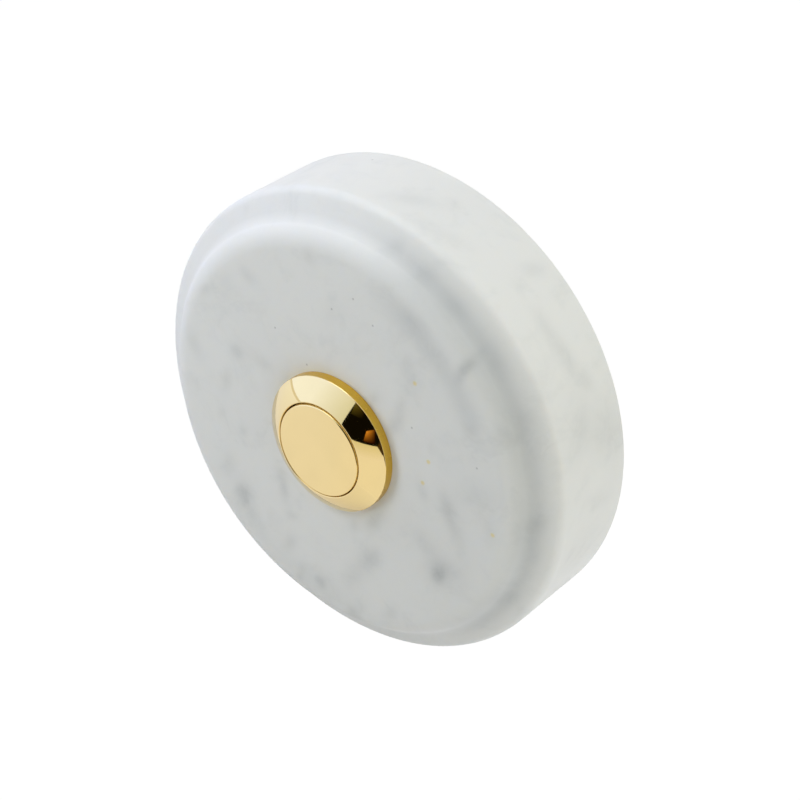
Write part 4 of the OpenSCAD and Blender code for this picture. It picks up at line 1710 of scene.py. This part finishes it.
# The cards' lights: the softbox and its far end, the dark room, and the dusk under it
COOL, FAR = (1.14, 1.33, 1.94), (0.86, 0.95, 1.02)
DARK, DUSK, DAY = (0.005, 0.004, 0.001), (0.86, 0.84, 0.63), (1.0, 0.99, 1.0)
CARDS = (
    Card("softbox_card", ((-125.0, 5.2), (-44.0, -0.3), (-44.0, 58.0), (-125.0, 60.0)), (COOL,) * 4, 0.52),
    Card("softbox_end_card", ((-44.0, -0.3), (-9.0, -5.0), (13.0, 50.0), (-44.0, 58.0)),
         (COOL, FAR, FAR, COOL), 0.52),
    Card("overhead_card", ((-115.0, 56.0), (8.0, 52.0), (8.0, 88.0), (-115.0, 88.0)),
         ((2.4, 2.5, 2.7),) * 4, 0.54),
    Card("dark_room_card", ((-9.8, -4.6), (55.0, -8.2), (65.0, 50.0), (13.0, 50.0)), (DARK,) * 4, 0.50),
    Card("dark_side_card", ((42.5, -22.0), (80.0, -28.0), (80.0, 50.0), (33.0, -6.5)),
         ((0.06, 0.035, 0.006),) * 4, 0.49),
    Card("olive_card", ((3.0, 20.5), (17.0, 19.0), (24.0, 45.0), (10.0, 45.0)),
         ((0.03, 0.026, 0.005), (0.006, 0.004, 0.001), (0.05, 0.03, 0.006), (0.24, 0.20, 0.04)), 0.48),
    Card("amber_card", ((18.5, -3.5), (31.0, -4.5), (32.0, 11.0), (22.0, 7.5)),
         ((0.06, 0.012, 0.0), (0.01, 0.001, 0.0), (0.04, 0.01, 0.002), (0.95, 0.40, 0.05)), 0.45),
    Card("dusk_card", ((-12.0, -18.0), (45.0, -22.0), (45.0, -8.0), (-12.0, -3.0)),
         (DAY, DAY, DUSK, DUSK), 0.51),
    Card("seam_card", ((-125.0, 3.0), (-44.0, -2.4), (-44.0, -0.2), (-125.0, 5.3)),
         ((0.84, 0.84, 0.86),) * 4, 0.51),
    Card("wall_card", ((-125.0, -48.0), (-40.0, -48.0), (-40.0, -2.3), (-125.0, 3.1)),
         ((0.78, 0.76, 0.80), (0.98, 0.97, 0.98), (1.07, 1.16, 1.44), (1.02, 1.15, 1.47)), 0.33),
    Card("corner_card", ((-135.0, -86.0), (40.0, -86.0), (0.0, -47.0), (-135.0, -47.0)),
         ((0.72, 0.70, 0.68), (1.0, 1.01, 1.02), (1.0, 1.01, 1.02), (0.74, 0.72, 0.74)), 0.33),
)

GLOWS = (
    Glow((0.0, 0.30, 0.95), (1.35, 1.20, 1.25)),
    Glow((0.50, 0.30, 0.80), (0.05, 0.25, 0.25)),
    Glow((-0.60, 0.40, 0.70), (0.10, 0.15, 0.10)),
    Glow((0.90, 0.30, 0.30), (1.60, 1.52, 1.36)),
    Glow((0.38, -0.10, -0.92), (0.80, 0.90, 1.05)),
    Glow((0.60, -0.60, -0.50), (1.00, 0.95, 0.80)),
)


def frame_matrix(right: Array, up: Array, back: Array, place: Array) -> Matrix:
    """Return the matrix that sets an object's axes and place.

    Args:
        right: Direction of its x axis.
        up: Direction of its y axis.
        back: Direction of its z axis.
        place: Where its origin lies, in metres.

    Returns:
        The matrix.
    """
    columns = np.eye(4)
    columns[:3] = np.stack([right, up, back, place], -1)
    return Matrix(columns.tolist())


@dataclass(frozen=True)
class Lamp:
    """A round soft lamp near the part.

    Attributes:
        name: Name of the lamp.
        towards: Where it stands, as a row direction from the bezel.
        power: Its power in watts for each colour.
        distance: Distance from the bezel in metres.
        size: Diameter in metres.
    """

    name: str
    towards: Corner
    power: Colour
    distance: float = 0.45
    size: float = 0.20

    def build(self) -> None:
        """Make the lamp and turn it to the bezel."""
        data = bpy.data.lights.new(self.name, "AREA")
        data.shape, data.size = "DISK", self.size
        data.energy = max(self.power)
        data.color = [value / data.energy for value in self.power]
        lamp = bpy.data.objects.new(self.name, data)
        bpy.context.scene.collection.objects.link(lamp)
        back = unit(np.array(self.towards))
        right = unit(np.cross([0.0, 0.0, 1.0], back))
        place = back * self.distance + LAMP_AIM
        lamp.matrix_world = frame_matrix(right, np.cross(back, right), back, place)
        lamp.visible_glossy = lamp.visible_camera = False
        LOG.info("%s: studio lamp", self.name)


LAMPS = (
    Lamp("key_lamp", (-0.45, -0.55, 0.70), (0.41, 0.43, 0.50)),
    Lamp("left_lamp", (-0.90, -0.10, 0.40), (0.49, 0.47, 0.45)),
    Lamp("front_lamp", (0.20, -0.70, 0.70), (0.27, 0.28, 0.25)),
    Lamp("fill_lamp", (-0.60, -0.80, 0.10), (0.36, 0.38, 0.37)),
)


@dataclass(frozen=True)
class Studio:
    """The camera, the soft lights, the cards and the pale floor.

    Attributes:
        azimuth: Bearing of the camera round the part, in degrees.
        elevation: Height of the camera over the horizon, in degrees.
        distance: Distance of the camera from its aim in metres.
        aim_right: Shift of the aim to the right in metres.
        aim_up: Shift of the aim upwards in metres.
        lens: Focal length on a 36 mm sensor.
        floor: Height of the floor in metres.
        floor_half: Half the floor's width in metres.
    """

    azimuth: float = 38.953
    elevation: float = 31.980
    distance: float = 0.302736
    aim_right: float = -0.002953
    aim_up: float = -0.002370
    lens: float = 88.90
    floor: float = -0.34
    floor_half: float = 3.0

    def camera(self) -> None:
        """Make the camera from its bearing: back is (sin a cos e, -cos a cos e, sin e)."""
        a, e = math.radians(self.azimuth), math.radians(self.elevation)
        back = np.array([math.sin(a) * math.cos(e), -math.cos(a) * math.cos(e), math.sin(e)])
        right = np.array([math.cos(a), math.sin(a), 0.0])
        up = np.cross(back, right)
        data = bpy.data.cameras.new("studio_camera")
        data.lens, data.sensor_width = self.lens, 36.0
        data.clip_start, data.clip_end = 0.01, 20.0
        camera = bpy.data.objects.new("studio_camera", data)
        bpy.context.scene.collection.objects.link(camera)
        place = right * self.aim_right + up * self.aim_up + back * self.distance
        camera.matrix_world = frame_matrix(right, up, back, place)
        bpy.context.scene.camera = camera

    @staticmethod
    def seen_directly(nodes: Nodes) -> Socket:
        """Return 1 for rays from the camera, from shiny metal and through glass, and else 0.

        Args:
            nodes: The nodes that ask.

        Returns:
            The output.
        """
        path = nodes.add("LightPath").outputs
        shiny = nodes.math("MAXIMUM", path["Is Glossy Ray"], path["Is Transmission Ray"])
        return nodes.math("MAXIMUM", path["Is Camera Ray"], shiny)

    def world(self) -> None:
        """Make the world: white where it is seen, and the soft lights elsewhere."""
        world = bpy.data.worlds.new("studio_world")
        bpy.context.scene.world = world
        nodes = Nodes(world, place="Generated")
        light: object = (0.0, 0.0, 0.0)
        for glow in GLOWS:
            light = nodes.add("VectorMath", light, glow.build(nodes)).outputs[0]
        soft = nodes.add("Background", light)
        white = nodes.add("Background", (1.0, 1.0, 1.0))
        nodes.show(nodes.add("MixShader", self.seen_directly(nodes), soft.outputs[0], white.outputs[0]))

    def ground(self) -> None:
        """Make the pale floor, which looks white and still darkens where the part shades it."""
        span = np.linspace(-self.floor_half, self.floor_half, 9)
        x, y = np.meshgrid(span, span, indexing="ij")
        nodes = Nodes.material("studio_floor")
        pale = nodes.add("BsdfDiffuse", (0.78, 0.78, 0.78))
        shaded = nodes.add("BsdfDiffuse", (0.10, 0.10, 0.10))
        glow = nodes.add("Emission", (1.0, 1.0, 1.0), 0.95)
        both = nodes.add("AddShader", shaded.outputs[0], glow.outputs[0])
        nodes.show(nodes.add("MixShader", self.seen_directly(nodes), pale.outputs[0], both.outputs[0]))
        points = np.stack([x, y, np.full_like(x, self.floor)], -1)
        sheet("studio_floor", points, nodes.owner, ("diffuse", "shadow"))

    def build(self) -> None:
        """Make the world, the floor, the cards and the lamps."""
        bpy.context.scene.view_settings.view_transform = "Standard"
        self.world()
        self.ground()
        for piece in (*CARDS, *LAMPS):
            piece.build()


def main() -> None:
    """Build the camera, the pieces and the studio in order."""
    logging.basicConfig(level=logging.INFO, format="%(message)s")
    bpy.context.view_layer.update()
    studio = Studio()
    studio.camera()
    finishes = {finish.name: finish.build() for finish in FINISHES}
    for assembly in (StoneDisc(), BellHousing(), BellButton(), RETURN_SPRING, ContactBlock(),
                     WireTerminals(), CONTACT_SPRING, FixingStack()):
        assembly.build(finishes)
    dress_nodes(finishes)
    studio.build()
    bpy.context.view_layer.update()


if __name__ == "__main__":
    main()
